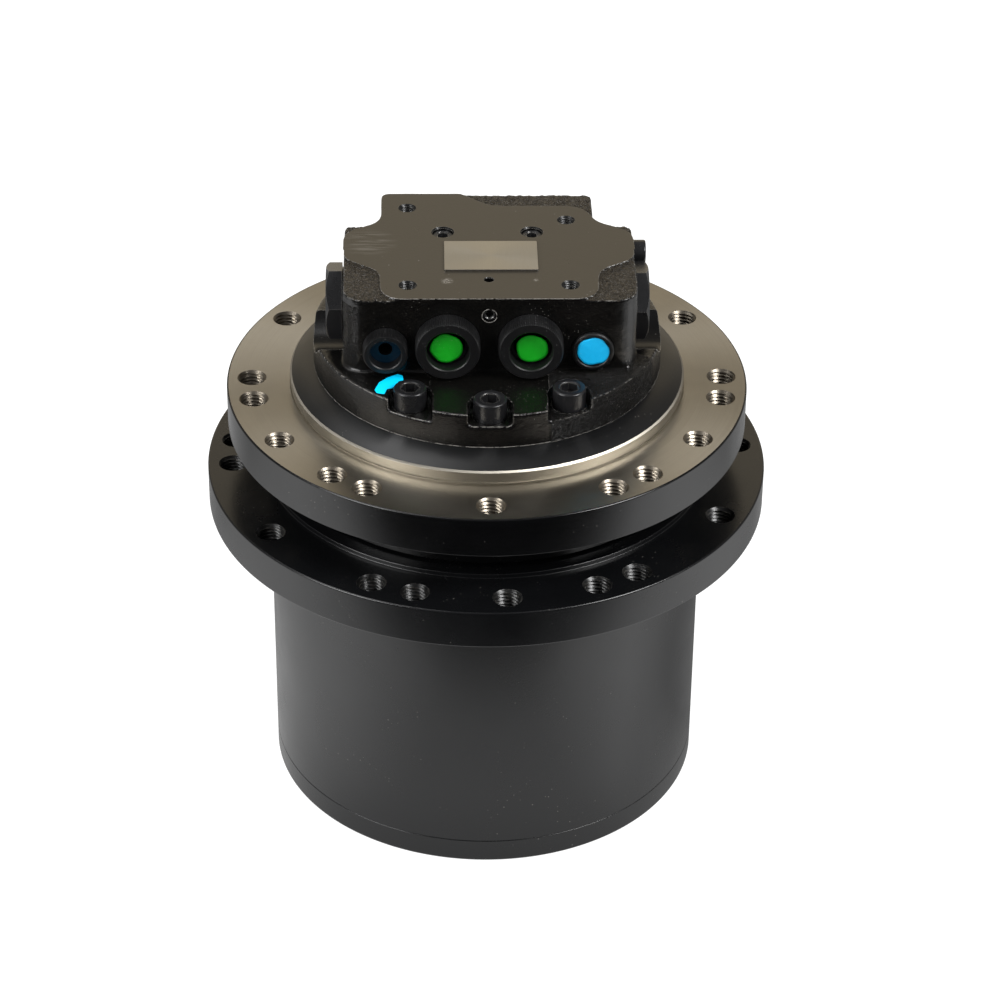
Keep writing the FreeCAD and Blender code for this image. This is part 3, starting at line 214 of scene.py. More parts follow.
def settle(piece):
    """Apply a piece's modifiers to its mesh."""
    graph = bpy.context.evaluated_depsgraph_get()
    old = piece.data
    piece.data = bpy.data.meshes.new_from_object(piece.evaluated_get(graph))
    piece.modifiers.clear()
    bpy.data.meshes.remove(old)


def joined(name, pieces):
    """One piece made of several."""
    first = pieces[0]
    with bpy.context.temp_override(active_object=first, selected_editable_objects=pieces):
        bpy.ops.object.join()
    first.name = name
    return first


def machined(piece, tool, operation="DIFFERENCE"):
    """Cut a piece with a closed tool, which is used up. Cut faces keep the tool's finish number."""
    change = piece.modifiers.new("cut", "BOOLEAN")
    change.object = tool
    change.operation = operation
    change.solver = "MANIFOLD"
    settle(piece)
    bpy.data.objects.remove(tool)


def edged(piece, crease=32.0):
    """Sharp edges above an angle in degrees, and flat faces that stay flat under smooth shading."""
    shape = bmesh.new()
    shape.from_mesh(piece.data)
    limit = math.radians(crease)
    for edge in shape.edges:
        edge.smooth = len(edge.link_faces) == 2 and edge.calc_face_angle(0.0) < limit
    shape.to_mesh(piece.data)
    shape.free()
    piece.data.polygons.foreach_set("use_smooth", [True] * len(piece.data.polygons))
    flats = piece.modifiers.new("flat_faces", "WEIGHTED_NORMAL")
    flats.keep_sharp = True


def tap(radius, height, pitch, mouth, bottom, top, finishes, number):
    """The shape of a tapped hole with a countersunk mouth at its top, as a closed tool about Z."""
    steps = 28
    rises_per_pitch = 6.0
    rises = int((top - bottom) / pitch * rises_per_pitch)
    points = []
    for rise in range(rises + 1):
        level = bottom + (top - bottom) * rise / rises
        for step, (x, y, _) in enumerate(ring(1.0, level, steps)):
            phase = (level / pitch - step / steps) % 1.0
            groove = max(0.0, 1.0 - abs(phase - 0.5) / 0.42)
            wall = max(radius + height * min(1.0, groove * 1.25), mouth - (top - level))
            points.append((wall * x, wall * y, level))
    return tube("tap", points, steps, finishes, number)


def rod(radius, start, end, finishes, number, steps=48, mouth=0.0):
    """A closed round tool between two points, widened like a countersink at its end."""
    start = Vector(start)
    end = Vector(end)
    upright = (end - start).normalized().to_track_quat("Z", "Y")
    length = (end - start).length
    stations = [(radius, 0.0), (radius, length)]
    if mouth:
        stations[1:] = [(radius, length - mouth), (radius + mouth, length), (radius + mouth, length + 1.0)]
    points = [start + upright @ Vector(point) for wall, level in stations for point in ring(wall, level, steps)]
    return tube("rod", points, steps, finishes, number)


def prism(name, outline, bottom, top, finishes, number=0):
    """A straight block from an outline (x, y, rounding)."""
    corners = [point for point, _ in softened(outline)]
    points = [(corner.x, corner.y, level) for level in (bottom, top) for corner in corners]
    return tube(name, points, len(corners), finishes, number)


def milled(piece, low, high, number):
    """Cut a box between two corners out of a piece."""
    outline = [(low[0], low[1]), (high[0], low[1]), (high[0], high[1]), (low[0], high[1])]
    machined(piece, prism("slab", outline, low[2], high[2], piece.data.materials, number))


def hexed(piece, corner, bottom, top, turn=0.0, operation="DIFFERENCE"):
    """Cut a hexagonal bar about Z out of a piece, or cut the piece down to that bar."""
    turns = [math.radians(60.0 * index + turn) for index in range(6)]
    outline = [(corner * math.cos(angle), corner * math.sin(angle)) for angle in turns]
    machined(piece, prism("hexagon", outline, bottom, top, piece.data.materials), operation)


def copies_round(tool, circle, angles):
    """Copies of a tool at a distance from the axis and a list of angles in degrees, as one tool."""
    made = []
    for angle in angles:
        copy = tool.copy()
        copy.data = tool.data.copy()
        bpy.context.scene.collection.objects.link(copy)
        at = math.radians(angle)
        copy.data.transform(Matrix.Translation((circle * mm * math.cos(at), circle * mm * math.sin(at), 0.0)))
        made.append(copy)
    bpy.data.objects.remove(tool)
    return joined("tools", made)

def drilled(piece, radius, start, end, number, steps=48, mouth=0.0, circle=0.0, angles=()):
    """Drill a hole between two points, or one like it at each angle, in degrees, on a circle about the axis."""
    tool = rod(radius, start, end, piece.data.materials, number, steps, mouth)
    machined(piece, copies_round(tool, circle, angles) if angles else tool)


def two_hole_rings(start):
    """Angles of a ring of twelve holes and a ring of nine that share every third one."""
    wide = [start + 360.0 / wide_ring * index for index in range(wide_ring)]
    narrow = [start + 360.0 / narrow_ring * index for index in range(narrow_ring) if index % 3]
    return wide + narrow

def flange_tapped(flange, under, top, circle, start, number):
    """Tap both rings of holes through a flange, with their countersunk mouths on its upper side."""
    tool = tap(
        tapped_radius, thread_height, thread_pitch, thread_mouth, under - 0.5, top + 0.05,
        flange.data.materials, number,
    )
    machined(flange, copies_round(tool, circle, two_hole_rings(start)))


def stood(piece, x, y, z, turn=0.0, axis="Z"):
    """Turn a piece's mesh about an axis, in degrees, and then move it to a point."""
    place = Matrix.Translation((x * mm, y * mm, z * mm))
    piece.data.transform(place @ Matrix.Rotation(math.radians(turn), 4, axis))


def shader(tree, kind, sockets=None, **settings):
    """A shader node with its settings, and its sockets set to a value or linked to another node's output."""
    made = tree.nodes.new("ShaderNode" + kind)
    for name, value in settings.items():
        setattr(made, name, value)
    for socket, source in (sockets or {}).items():
        if isinstance(source, bpy.types.NodeSocket):
            tree.links.new(source, made.inputs[socket])
        else:
            made.inputs[socket].default_value = source
    return made


def effect(name, inputs, outputs):
    """An empty node group with named number inputs, and its input and output nodes."""
    group = bpy.data.node_groups.new(name, "ShaderNodeTree")
    for label, value in inputs.items():
        socket = group.interface.new_socket(label, in_out="INPUT", socket_type="NodeSocketFloat")
        socket.default_value = value
    for label in outputs:
        group.interface.new_socket(label, in_out="OUTPUT", socket_type="NodeSocketFloat")
    return group, group.nodes.new("NodeGroupInput"), group.nodes.new("NodeGroupOutput")


def placed(tree, group, **values):
    """The outputs of an effect that is placed in a material with its own values."""
    made = tree.nodes.new("ShaderNodeGroup")
    made.node_tree = group
    for label, value in values.items():
        made.inputs[label.replace("_", " ")].default_value = value
    return made.outputs


def math_of(tree, operation, first, second=0.0, third=0.0, clamp=False):
    """The output of one Math node."""
    made = shader(tree, "Math", {0: first, 1: second, 2: third}, operation=operation, use_clamp=clamp)
    return made.outputs[0]

def times(tree, first, second):
    """The product of two numbers."""
    return math_of(tree, "MULTIPLY", first, second)


def remapped(tree, value, low, high, to_low, to_high):
    """A value moved from one range to another and kept inside it."""
    sockets = {"Value": value, "From Min": low, "From Max": high, "To Min": to_low, "To Max": to_high}
    return shader(tree, "MapRange", sockets).outputs[0]

def spread(tree, share, low, high):
    """A share from nought to one, made a value between two others."""
    return remapped(tree, share, 0.0, 1.0, low, high)


def mixed(tree, share, first, second):
    """A colour between two, by a share."""
    first, second = (tone if isinstance(tone, bpy.types.NodeSocket) else (*tone, 1.0) for tone in (first, second))
    return shader(tree, "Mix", {0: share, 6: first, 7: second}, data_type="RGBA").outputs[2]


def layered(tree, tone, *layers):
    """A colour under others, each laid on by its share."""
    for share, colour in layers:
        tone = mixed(tree, share, tone, colour)
    return tone


def scaled(colour, share):
    """A colour made lighter or darker."""
    return [channel * share for channel in colour]


def own_place(tree):
    """A point's place in its piece."""
    return shader(tree, "TexCoord").outputs["Object"]


def grains(tree, scale, detail=2.0, roughness=0.5, spot=None):
    """A noise over the piece's own coordinates, or over others."""
    sockets = {"Vector": spot or own_place(tree), "Scale": scale, "Detail": detail, "Roughness": roughness}
    return shader(tree, "TexNoise", sockets).outputs[0]


def new_finish(name, **constants):
    """A material with its Principled shader's constant sockets set, its node tree and that shader."""
    material = bpy.data.materials.new(name)
    material.use_nodes = True
    surface = material.node_tree.nodes["Principled BSDF"]
    for socket, value in constants.items():
        surface.inputs[socket.replace("_", " ")].default_value = value
    return material, material.node_tree, surface

def dressed(tree, surface, tone, gloss, height=None, strength=0.0, distance=0.0):
    """Feed a surface its colour, its roughness and the height of its grain."""
    tree.links.new(tone, surface.inputs["Base Color"])
    tree.links.new(gloss, surface.inputs["Roughness"])
    if height:
        bump = shader(tree, "Bump", {"Strength": strength, "Distance": distance, "Height": height})
        tree.links.new(bump.outputs["Normal"], surface.inputs["Normal"])


# Turning marks: fine rings about the drive's axis, uneven from ring to ring and faintly along each ring.
turning_marks, marks_in, marks_out = effect("turning_marks", {"Rings per metre": 2500.0}, ["Height", "Streak"])
spot = own_place(turning_marks)
axes = shader(turning_marks, "SeparateXYZ", {0: spot}).outputs
flat_square = math_of(turning_marks, "MULTIPLY_ADD", axes[1], axes[1], times(turning_marks, axes[0], axes[0]))
travel = math_of(turning_marks, "ADD", math_of(turning_marks, "SQRT", flat_square), axes[2])
ringed = times(turning_marks, travel, marks_in.outputs[0])
along = shader(turning_marks, "VectorMath", {0: spot, "Scale": 9.0}, operation="SCALE").outputs[0]
fine_rings = shader(turning_marks, "TexNoise", {"W": ringed, "Scale": 1.0, "Detail": 3.0}, noise_dimensions="1D")
faded = shader(turning_marks, "TexNoise", {
    "Vector": along, "W": ringed, "Scale": 1.0, "Detail": 1.0,
}, noise_dimensions="4D")
turning_marks.links.new(fine_rings.outputs[0], marks_out.inputs["Height"])
turning_marks.links.new(faded.outputs[0], marks_out.inputs["Streak"])

# Handling: soft smudges, and sparse dust specks and nicks that show pale on dark paint.
handling, handling_in, handling_out = effect(
    "handling", {"Speck size": 900.0, "Speck share": 0.12}, ["Smudge", "Speck"]
)
spot = own_place(handling)
cloud = grains(handling, 26.0, 5.0, 0.62, spot)
handling.links.new(remapped(handling, cloud, 0.3, 0.7, 0.0, 1.0), handling_out.inputs["Smudge"])
cells = shader(handling, "TexVoronoi", {"Vector": spot, "Scale": handling_in.outputs[0]})
cell_pick = shader(handling, "SeparateColor", {0: cells.outputs["Color"]}).outputs[0]
chosen = math_of(handling, "LESS_THAN", cell_pick, handling_in.outputs[1])
dot = times(handling, chosen, remapped(handling, cells.outputs["Distance"], 0.1, 0.24, 1.0, 0.0))
speck = times(handling, dot, remapped(handling, cloud, 0.5, 0.62, 0.0, 1.0))
handling.links.new(speck, handling_out.inputs["Speck"])

# Edge wear: paint rubbed thin along outside edges, broken up by noise.
edge_wear, wear_in, wear_out = effect(
    "edge_wear", {"Width": 0.0006, "Breakup": 420.0, "Amount": 0.5}, ["Mask"]
)
normals = {
    0: shader(edge_wear, "Bevel", {"Radius": wear_in.outputs[0]}, samples=6).outputs[0],
    1: shader(edge_wear, "NewGeometry").outputs["Normal"],
}
agreement = shader(edge_wear, "VectorMath", normals, operation="DOT_PRODUCT").outputs["Value"]
turned_away = remapped(edge_wear, agreement, 0.82, 0.985, 1.0, 0.0)
patchy = grains(edge_wear, wear_in.outputs[1], 4.0, 0.7)
gate = math_of(edge_wear, "SUBTRACT", 1.0, wear_in.outputs[2])
gate_low = math_of(edge_wear, "MULTIPLY_ADD", gate, 0.5, 0.22)
gate_high = math_of(edge_wear, "ADD", gate_low, 0.08)
left_bare = remapped(edge_wear, patchy, gate_low, gate_high, 0.0, 1.0)
edge_wear.links.new(times(edge_wear, turned_away, left_bare), wear_out.inputs["Mask"])

bare_edge = (0.2, 0.19, 0.17)
pale_speck = (0.35, 0.33, 0.3)
pale_scuff = (0.3, 0.28, 0.25)


def satin_paint(name, colour, roughness, marks=0.0, wear=0.35, specks=0.10, scuffs=None):
    """Black paint over turned steel: near-black, satin, with faint turning marks under it and pale nicks."""
    material, tree, surface = new_finish(name)
    touched = placed(tree, handling, Speck_size=620.0, Speck_share=specks)
    worn = placed(tree, edge_wear, Width=0.0005, Breakup=500.0, Amount=wear)
    rings = placed(tree, turning_marks, Rings_per_metre=2600.0)
    dusty = [channel * 1.9 + 0.004 for channel in colour]
    tone = layered(
        tree, colour, (touched["Smudge"], scaled(colour, 1.25)), (times(tree, touched["Speck"], 0.5), pale_speck),
        (worn["Mask"], bare_edge), (times(tree, rings["Streak"], marks), dusty),
    )
    if scuffs:
        tone = mixed(tree, scuffs(tree), tone, pale_scuff)
    gloss = spread(tree, touched["Smudge"], roughness - 0.04, roughness + 0.06)
    gloss = math_of(tree, "MULTIPLY_ADD", worn["Mask"], -0.1, gloss)
    height = math_of(tree, "MULTIPLY_ADD", rings["Height"], marks, grains(tree, 900.0))
    dressed(tree, surface, tone, gloss, height, 0.06, 0.0004)
    return material


housing_paint = satin_paint("housing_paint", (0.0024, 0.0026, 0.003), 0.25, marks=0.2)
tapped_black = satin_paint("tapped_black", (0.004, 0.004, 0.004), 0.3, wear=0.5)

drum = turned("sprocket_drum_painted", [
    (ring_gear_bore, cover_seam + 0.05),
    (drum_radius, cover_seam + 0.05, 0.35),
    (drum_radius, flange_under, 1.2),
    (flange_radius, flange_under, 0.9),
    (flange_radius, flange_top, 0.9),
    (collar_radius, flange_top, 0.5),
    (collar_radius, collar_top, 0.5),
    (seal_bore, collar_top, 0.4),
    (seal_bore, seal_floor),
    (bearing_bore, seal_floor),
    (bearing_bore, upper_bearing_floor),
    (bearing_shoulder, upper_bearing_floor),
    (bearing_shoulder, lower_bearing_roof),
    (bearing_bore, lower_bearing_roof),
    (bearing_bore, ring_gear_roof),
    (ring_gear_bore, ring_gear_roof),
], [housing_paint, tapped_black], steps=240)
flange_tapped(drum, flange_under, flange_top, sprocket_hole_circle, sprocket_hole_start, 1)
edged(drum)
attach(drum, "drum")
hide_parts("sprocket_drum")


# Fixed hub: one turned forging. Its frame flange is left bare on top for the machine's frame plate, as is
# the register's side; its rims, its cone and its neck are painted. Inside are the motor's bore and the
# bearing spindle.
spindle_end = 106.95
spindle_thread_radius = 61.0
spindle_radius = 62.5
lower_bearing_floor = 118.45
bearing_top = 169.95
seal_wall_radius = 82.0
seal_roof = 185.0
neck_under = 179.5
frame_flange_under = 200.6
frame_flange_top = 221.6
frame_flange_radius = 130.0
register_radius = 98.3
register_top = 228.1
casing_seat = 234.2
casing_radius = 86.5
neck_radius = 104.0
shoulder_radius = 72.0
motor_bore = 52.0
swash_bore = 47.0
brake_step = 171.65
swash_floor = 131.95
shaft_bore = 24.0
register_groove = 0.5
frame_hole_circle = 117.5
frame_hole_start = -90.0
casing_screw_circle = 76.3
casing_screw_bore = 5.02
casing_screw_end = 212.2
casing_screw_angles = (-120.0, -90.0, -60.0, 60.0, 90.0, 120.0)
carrier_screw_circle = 42.0
carrier_screw_bore = 4.02
carrier_screw_end = 130.95
carrier_screw_angles = [quarter + side for quarter in (45.0, 135.0, 225.0, 315.0) for side in (-14.0, 14.0)]

bare_steel, tree, surface = new_finish("bare_turned_steel", Metallic=1.0, Anisotropic=0.85)
rings = placed(tree, turning_marks, Rings_per_metre=5200.0)
touched = placed(tree, handling, Speck_size=500.0, Speck_share=0.05)
tone = mixed(tree, rings["Streak"], (0.34, 0.315, 0.27), (0.45, 0.42, 0.365))
tone = mixed(tree, times(tree, touched["Smudge"], 0.3), tone, (0.28, 0.255, 0.205))
dressed(tree, surface, tone, spread(tree, touched["Smudge"], 0.31, 0.36), rings["Height"], 0.12, 0.0002)
round_axis = shader(tree, "Tangent", direction_type="RADIAL", axis="Z")
tree.links.new(round_axis.outputs[0], surface.inputs["Tangent"])

flange_paint = satin_paint("flange_paint", (0.0011, 0.0012, 0.0014), 0.2, marks=0.4, wear=0.5)
cone_paint = satin_paint("cone_paint", (0.0018, 0.0019, 0.0021), 0.36, marks=0.45)
tapped_steel, tree, surface = new_finish("tapped_steel", Metallic=1.0)
smudge = placed(tree, handling, Speck_size=800.0, Speck_share=0.1)["Smudge"]
tone = mixed(tree, smudge, (0.34, 0.3, 0.24), (0.16, 0.14, 0.115))
dressed(tree, surface, tone, spread(tree, smudge, 0.25, 0.42))


def turned_steel(name, colour, roughness, rings=2600.0, relief=0.1):
    """Bare machined steel with turning or grinding marks, a little oily."""
    material, tree, surface = new_finish(name, Metallic=1.0)
    marks = placed(tree, turning_marks, Rings_per_metre=rings)
    smudge = placed(tree, handling, Speck_size=700.0, Speck_share=0.05)["Smudge"]
    dull = scaled(colour, 0.72)
    tone = layered(tree, dull, (marks["Streak"], colour), (times(tree, smudge, 0.4), dull))
    dressed(tree, surface, tone, spread(tree, smudge, roughness, roughness + 0.12), marks["Height"], relief, 0.0002)
    return material


inner_steel = turned_steel("inner_steel", (0.42, 0.4, 0.37), 0.28)
hub_bare, hub_cone, hub_thread, hub_inner = range(1, 5)

hub = turned("frame_hub_turned", [
    (shaft_bore, spindle_end, 0.0, hub_inner),
    (spindle_thread_radius, spindle_end, 0.6, hub_inner),
    (spindle_thread_radius, lower_bearing_floor, 0.0, hub_inner),
    (spindle_radius, lower_bearing_floor, 0.0, hub_inner),
    (spindle_radius, bearing_top, 0.0, hub_inner),
    (shoulder_radius, bearing_top, 0.0, hub_inner),
    (shoulder_radius, seal_floor, 0.0, hub_inner),
    (seal_wall_radius, seal_floor, 0.0, hub_inner),
    (seal_wall_radius, seal_roof, 0.0, hub_inner),
    (seal_bore, seal_roof, 0.0, hub_inner),
    (seal_bore, neck_under),
    (neck_radius, neck_under, 0.5),
    (neck_radius, frame_flange_under, 1.5),
    (frame_flange_radius, frame_flange_under, 0.9),
    (frame_flange_radius, frame_flange_top, 0.8),
    (frame_flange_radius - 0.9, frame_flange_top, 0.0, hub_bare),
    (register_radius + 0.6, frame_flange_top, 0.0, hub_bare),
    (register_radius - register_groove, frame_flange_top - 0.3, 0.0, hub_bare),
    (register_radius - register_groove, frame_flange_top + 1.1, 0.0, hub_bare),
    (register_radius, frame_flange_top + 1.5, 0.0, hub_bare),
    (register_radius, register_top - 0.9, 0.2, hub_bare),
    (register_radius - 0.9, register_top, 0.2, hub_cone),
    (casing_radius, casing_seat, 0.0, hub_cone),
    (motor_bore, casing_seat, 0.0, hub_inner),
    (motor_bore, brake_step, 0.0, hub_inner),
    (swash_bore, brake_step, 0.0, hub_inner),
    (swash_bore, swash_floor, 0.0, hub_inner),
    (shaft_bore, swash_floor, 0.0, hub_inner),
], [flange_paint, bare_steel, cone_paint, tapped_steel, inner_steel], steps=240)
flange_tapped(hub, frame_flange_under, frame_flange_top, frame_hole_circle, frame_hole_start, hub_thread)
drilled(
    hub, casing_screw_bore, (0, 0, casing_screw_end), (0, 0, casing_seat + 1.0), hub_inner, steps=24,
    circle=casing_screw_circle, angles=casing_screw_angles,
)
drilled(
    hub, carrier_screw_bore, (0, 0, spindle_end - 1.0), (0, 0, carrier_screw_end), hub_inner, steps=24,
    circle=carrier_screw_circle, angles=carrier_screw_angles,
)
edged(hub)
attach(hub, "fixed_side")
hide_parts("frame_hub")


# End cover: a turned steel plate, painted with the drum, counterbored below for its screws and its three
# oil plugs.
cover_spigot_radius = 98.75
cover_spigot_inner = 89.75
cover_spigot_top = 17.8
cover_screw_circle = 103.8
cover_screw_bore = 3.02
cover_head_bore = 5.02
cover_head_depth = 6.8
cover_screw_count = 16
oil_plug_bore = 9.02
oil_plug_circle = 62.0
oil_plug_angles = (90.0, 180.0, 270.0)

cover = turned("end_cover_painted", [
    (0.0, 0.0),
    (drum_radius, 0.0, 1.4),
    (drum_radius, cover_seam - 0.05, 0.45),
    (cover_spigot_radius, cover_seam - 0.05, 0.0, 1),
    (cover_spigot_radius, cover_spigot_top, 0.5, 1),
    (cover_spigot_inner, cover_spigot_top, 0.5, 1),
    (cover_spigot_inner, cover_seam, 0.0, 1),
    (0.0, cover_seam, 0.0, 1),
], [housing_paint, inner_steel], steps=240, closed=False)
cover_angles = [360.0 / cover_screw_count * index for index in range(cover_screw_count)]
for radius, start, end, number, steps, mouth, circle, angles in (
    (cover_screw_bore, cover_head_depth - 0.5, cover_seam + 1.0, 1, 24, 0.0, cover_screw_circle, cover_angles),
    (cover_head_bore, cover_head_depth, -0.05, 0, 32, 0.4, cover_screw_circle, cover_angles),
    (oil_plug_bore, cover_seam + 1.0, -0.05, 0, 48, 0.6, oil_plug_circle, oil_plug_angles),
):
    drilled(cover, radius, (0, 0, start), (0, 0, end), number, steps, mouth, circle, angles)
edged(cover)
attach(cover, "drum")
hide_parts("end_cover")


# Valve casing: an iron casting, sand-grained where it is left as cast and smooth where it is milled for its
# ports, plugs, screws and pad, then painted black all over. The rough skin comes from a voxel mesh moved
# along its normals.
casing_ledge = 252.1
casing_rough_top = 292.0
casing_pad = 293.0
port_face = -46.0
block_left = -70.5
block_right = 71.5
tail_left = -52.6
tail_right = 53.0
tail_rear = 61.0
shoulder_rear = 28.2
spool_y = -5.0
travel_port_x = 20.0
travel_port_z = 268.7
small_port_x = 50.0
drain_port_z = 266.1
pilot_port_z = 264.4
relief_y = 18.0
relief_z = 282.9
set_plug_x = 22.0
set_plug_y = 20.1
pad_threads = ((-39.2, -32.9), (39.2, -32.9), (-39.6, 45.2), (39.4, 32.4))
screw_pocket_floor = 245.8
screw_pocket_radius = 10.4
plug_pocket_radius = 25.5
ledge_flat = 28.5
casing_screw_seat = 8.5
port_bore = 10.0
port_depth = 26.0
small_port_bore = 6.6
small_port_depth = 18.0
front_plug_z = 283.4
front_plug_bore = 3.42
front_plug_depth = 10.0
spool_bore = 9.0
spool_end = 16.0
cross_thread_bore = 13.02
cross_thread_depth = 17.0
shaft_bearing_bore = 20.02
shaft_bearing_depth = 15.5
passage_bore = 5.0
kidney_x = 27.0
set_plug_bore = 5.02
centre_mark = (2.2, -27.5)
pad_hole_depth = 10.0
pad_thread = (3.4, 0.5, 1.25, 4.55)
pad_thread_depth = 18.0
relief_depth = 14.0
cast_milled, cast_pocket, cast_thread, cast_bore, cast_top, cast_rim, cast_ledge = range(1, 8)


def as_cast(name, tone, grain, dents, depth=0.0006, wear=0.62):
    """Black paint over a sand-cast skin: fine grain, glossy on the high spots."""
    material, tree, surface = new_finish(name, Specular_IOR_Level=0.55)
    speck = placed(tree, handling, Speck_size=1100.0, Speck_share=0.16)["Speck"]
    worn = placed(tree, edge_wear, Width=0.0011, Breakup=650.0, Amount=wear)["Mask"]
    sand = grains(tree, 1500.0, 3.0, 0.6)
    pits = grains(tree, 520.0, 3.0, 0.65)
    brown = (tone[0] * 2.3, tone[1] * 2.1, tone[2] * 1.8)
    colour = layered(
        tree, tone, (remapped(tree, pits, 0.42, 0.7, 0.0, 0.6), brown),
        (times(tree, speck, 0.6), (0.4, 0.38, 0.34)), (worn, (0.42, 0.4, 0.37)),
    )
    gloss = remapped(tree, sand, 0.3, 0.7, 0.1, 0.26)
    dressed(tree, surface, colour, gloss, math_of(tree, "MULTIPLY_ADD", pits, dents, sand), grain, depth)
    return material


def pad_scuffs(tree):
    """How much paint is scraped: cutter lines on the pad's left lobe and two small marks near its front edge."""
    spot = own_place(tree)
    lines = shader(tree, "Mapping", {"Vector": spot, "Scale": (70.0, 1100.0, 1.0)}).outputs[0]
    cutter = grains(tree, 1.0, 1.0, spot=lines)
    flakes = grains(tree, 1600.0)
    total = 0.0
    for place, inner, outer, pattern, low, high, most in (
        ((-0.0585, 0.0095, 0.293), 0.007, 0.015, cutter, 0.5, 0.62, 0.16),
        ((-0.0202, -0.0289, 0.293), 0.0012, 0.0034, flakes, 0.5, 0.56, 0.8),
        ((0.0227, -0.0281, 0.293), 0.0003, 0.0015, flakes, 0.46, 0.52, 0.6),
    ):
        reach = shader(tree, "VectorMath", {0: spot, 1: place}, operation="DISTANCE").outputs["Value"]
        near = remapped(tree, reach, inner, outer, most, 0.0)
        share = times(tree, near, remapped(tree, pattern, low, high, 0.0, 1.0))
        total = math_of(tree, "ADD", total, share)
    return total


# The milled pad and the shoulders' top skin have the same black paint as the rest, given a lighter brown-grey colour:
# painted sheen, standing in for the warm backdrop that these upward faces reflect.
cast_paint = as_cast("cast_paint", (0.0024, 0.0023, 0.0022), 0.3, 0.8)
top_cast_painted_sheen = as_cast("top_cast_painted_sheen", (0.045, 0.039, 0.031), 1.0, 2.6, depth=0.004)
# The rough rim and corner skin has a coarser grain, and a colour a little lighter than the plain skin as painted
# sheen for its glints.
rough_cast_painted_sheen = as_cast("rough_cast_painted_sheen", (0.005, 0.0048, 0.0044), 1.0, 2.2, depth=0.003)
ledge_cast = as_cast("ledge_cast", (0.003, 0.003, 0.0028), 0.4, 0.8, wear=0.1)
milled_paint_painted_sheen = satin_paint("milled_paint_painted_sheen", (0.024, 0.02, 0.014), 0.3, wear=0.5, specks=0.06, scuffs=pad_scuffs)
pocket_paint = satin_paint("pocket_paint", (0.002, 0.002, 0.002), 0.22, wear=0.85)
casing_finishes = [
    cast_paint, milled_paint_painted_sheen, pocket_paint, tapped_black, inner_steel, top_cast_painted_sheen, rough_cast_painted_sheen, ledge_cast,
]

pad_outline = [
    (tail_left + 1.0, port_face, 11.0), (tail_right - 1.0, port_face, 11.0), (tail_right, -18.0, 12.0),
    (block_right + 0.5, -6.0, 12.0), (block_right + 0.5, 19.0, 12.0), (tail_right + 1.5, 31.0, 12.0),
    (47.0, 47.0, 12.0), (2.0, 47.0, 12.0), (-13.0, 60.0, 4.0), (tail_left, 60.0, 4.0), (tail_left, 31.0, 12.0),
    (block_left - 0.5, 19.0, 12.0), (block_left - 0.5, -6.0, 12.0), (tail_left, -18.0, 12.0),
]
reach = 2.0 * casing_radius
base = rod(casing_radius - 0.15, (0, 0, casing_seat - 4.0), (0, 0, casing_ledge), casing_finishes, 0, steps=180)
pocket_top = casing_ledge + 5.0
screw_ring = {"circle": casing_screw_circle, "angles": casing_screw_angles}
drilled(base, screw_pocket_radius, (0, 0, screw_pocket_floor), (0, 0, pocket_top), 0, **screw_ring)
for angle in casing_screw_angles:
    x = casing_screw_circle * math.cos(math.radians(angle))
    y = casing_screw_circle * math.sin(math.radians(angle))
    outward = math.copysign(reach, y)
    milled(
        base, (x - screw_pocket_radius, min(y, y + outward), screw_pocket_floor),
        (x + screw_pocket_radius, max(y, y + outward), pocket_top), 0,
    )
shoulder_outline = [
    (block_left, port_face, 11.0), (block_right, port_face, 11.0), (block_right, shoulder_rear, 4.0),
    (block_left, shoulder_rear, 4.0),
]
tail_outline = [
    (x, y, 4.0) for x, y in (
        (tail_left, port_face + 11.0), (tail_right, port_face + 11.0), (tail_right, tail_rear),
        (tail_left, tail_rear),
    )
]
casting = joined("motor_casing_cast", [
    base,
    prism("shoulders", shoulder_outline, casing_ledge - 8.0, casing_rough_top, casing_finishes),
    prism("tail", tail_outline, casing_ledge - 8.0, casing_rough_top, casing_finishes),
    prism("pad", pad_outline, casing_rough_top - 6.0, casing_pad + 3.0, casing_finishes),
])
skin = casting.modifiers.new("skin", "REMESH")
skin.mode = "VOXEL"
skin.voxel_size = 0.85 * mm
soften = casting.modifiers.new("soften", "SMOOTH")
soften.factor = 0.5
soften.iterations = 4
settle(casting)
casting.data.update()


def skin_zone(place, facing):
    """Where the skin is rougher than elsewhere.

    That is on top of the shoulders, round the right half of the base's rim and up the port block's left corner.
    """
    x, y, z = place / mm
    if z > 288.0 and facing.z > 0.6:
        return "top"
    if z < 253.5 and -70.3 < math.degrees(math.atan2(y, x)) < -22.0:
        return "rim"
    if 254.0 < z < 288.0 and y < -30.0 and facing.x < -0.4:
        return "corner"
    return ""


moves = []
for point in casting.data.vertices:
    x, y, z = point.co / mm
    zone = skin_zone(point.co, point.normal)
    swell = noise.noise(Vector((x, y, z)) * 0.11) * 0.12 + noise.noise(Vector((x, y, z)) * 0.42) * 0.05
    if zone == "top":
        swell += 0.42 * noise.noise(Vector((x * 0.5, y * 0.75, z * 0.3)))
        swell += 0.3 * noise.noise(Vector((x, y, z)) * 1.1)
    elif zone == "rim":
        swell += 0.2 + 0.3 * noise.noise(Vector((x, y, z)) * 0.7)
    elif zone == "corner":
        swell += 0.4 * noise.noise(Vector((x * 0.12, y * 0.12, z * 0.42)))
    moves.append(point.co + point.normal * swell * mm)
for point, place in zip(casting.data.vertices, moves):
    point.co = place
for face in casting.data.polygons:
    zone_finish = {"": 0, "top": cast_top, "rim": cast_rim, "corner": cast_rim}
    face.material_index = zone_finish[skin_zone(face.center, face.normal)]

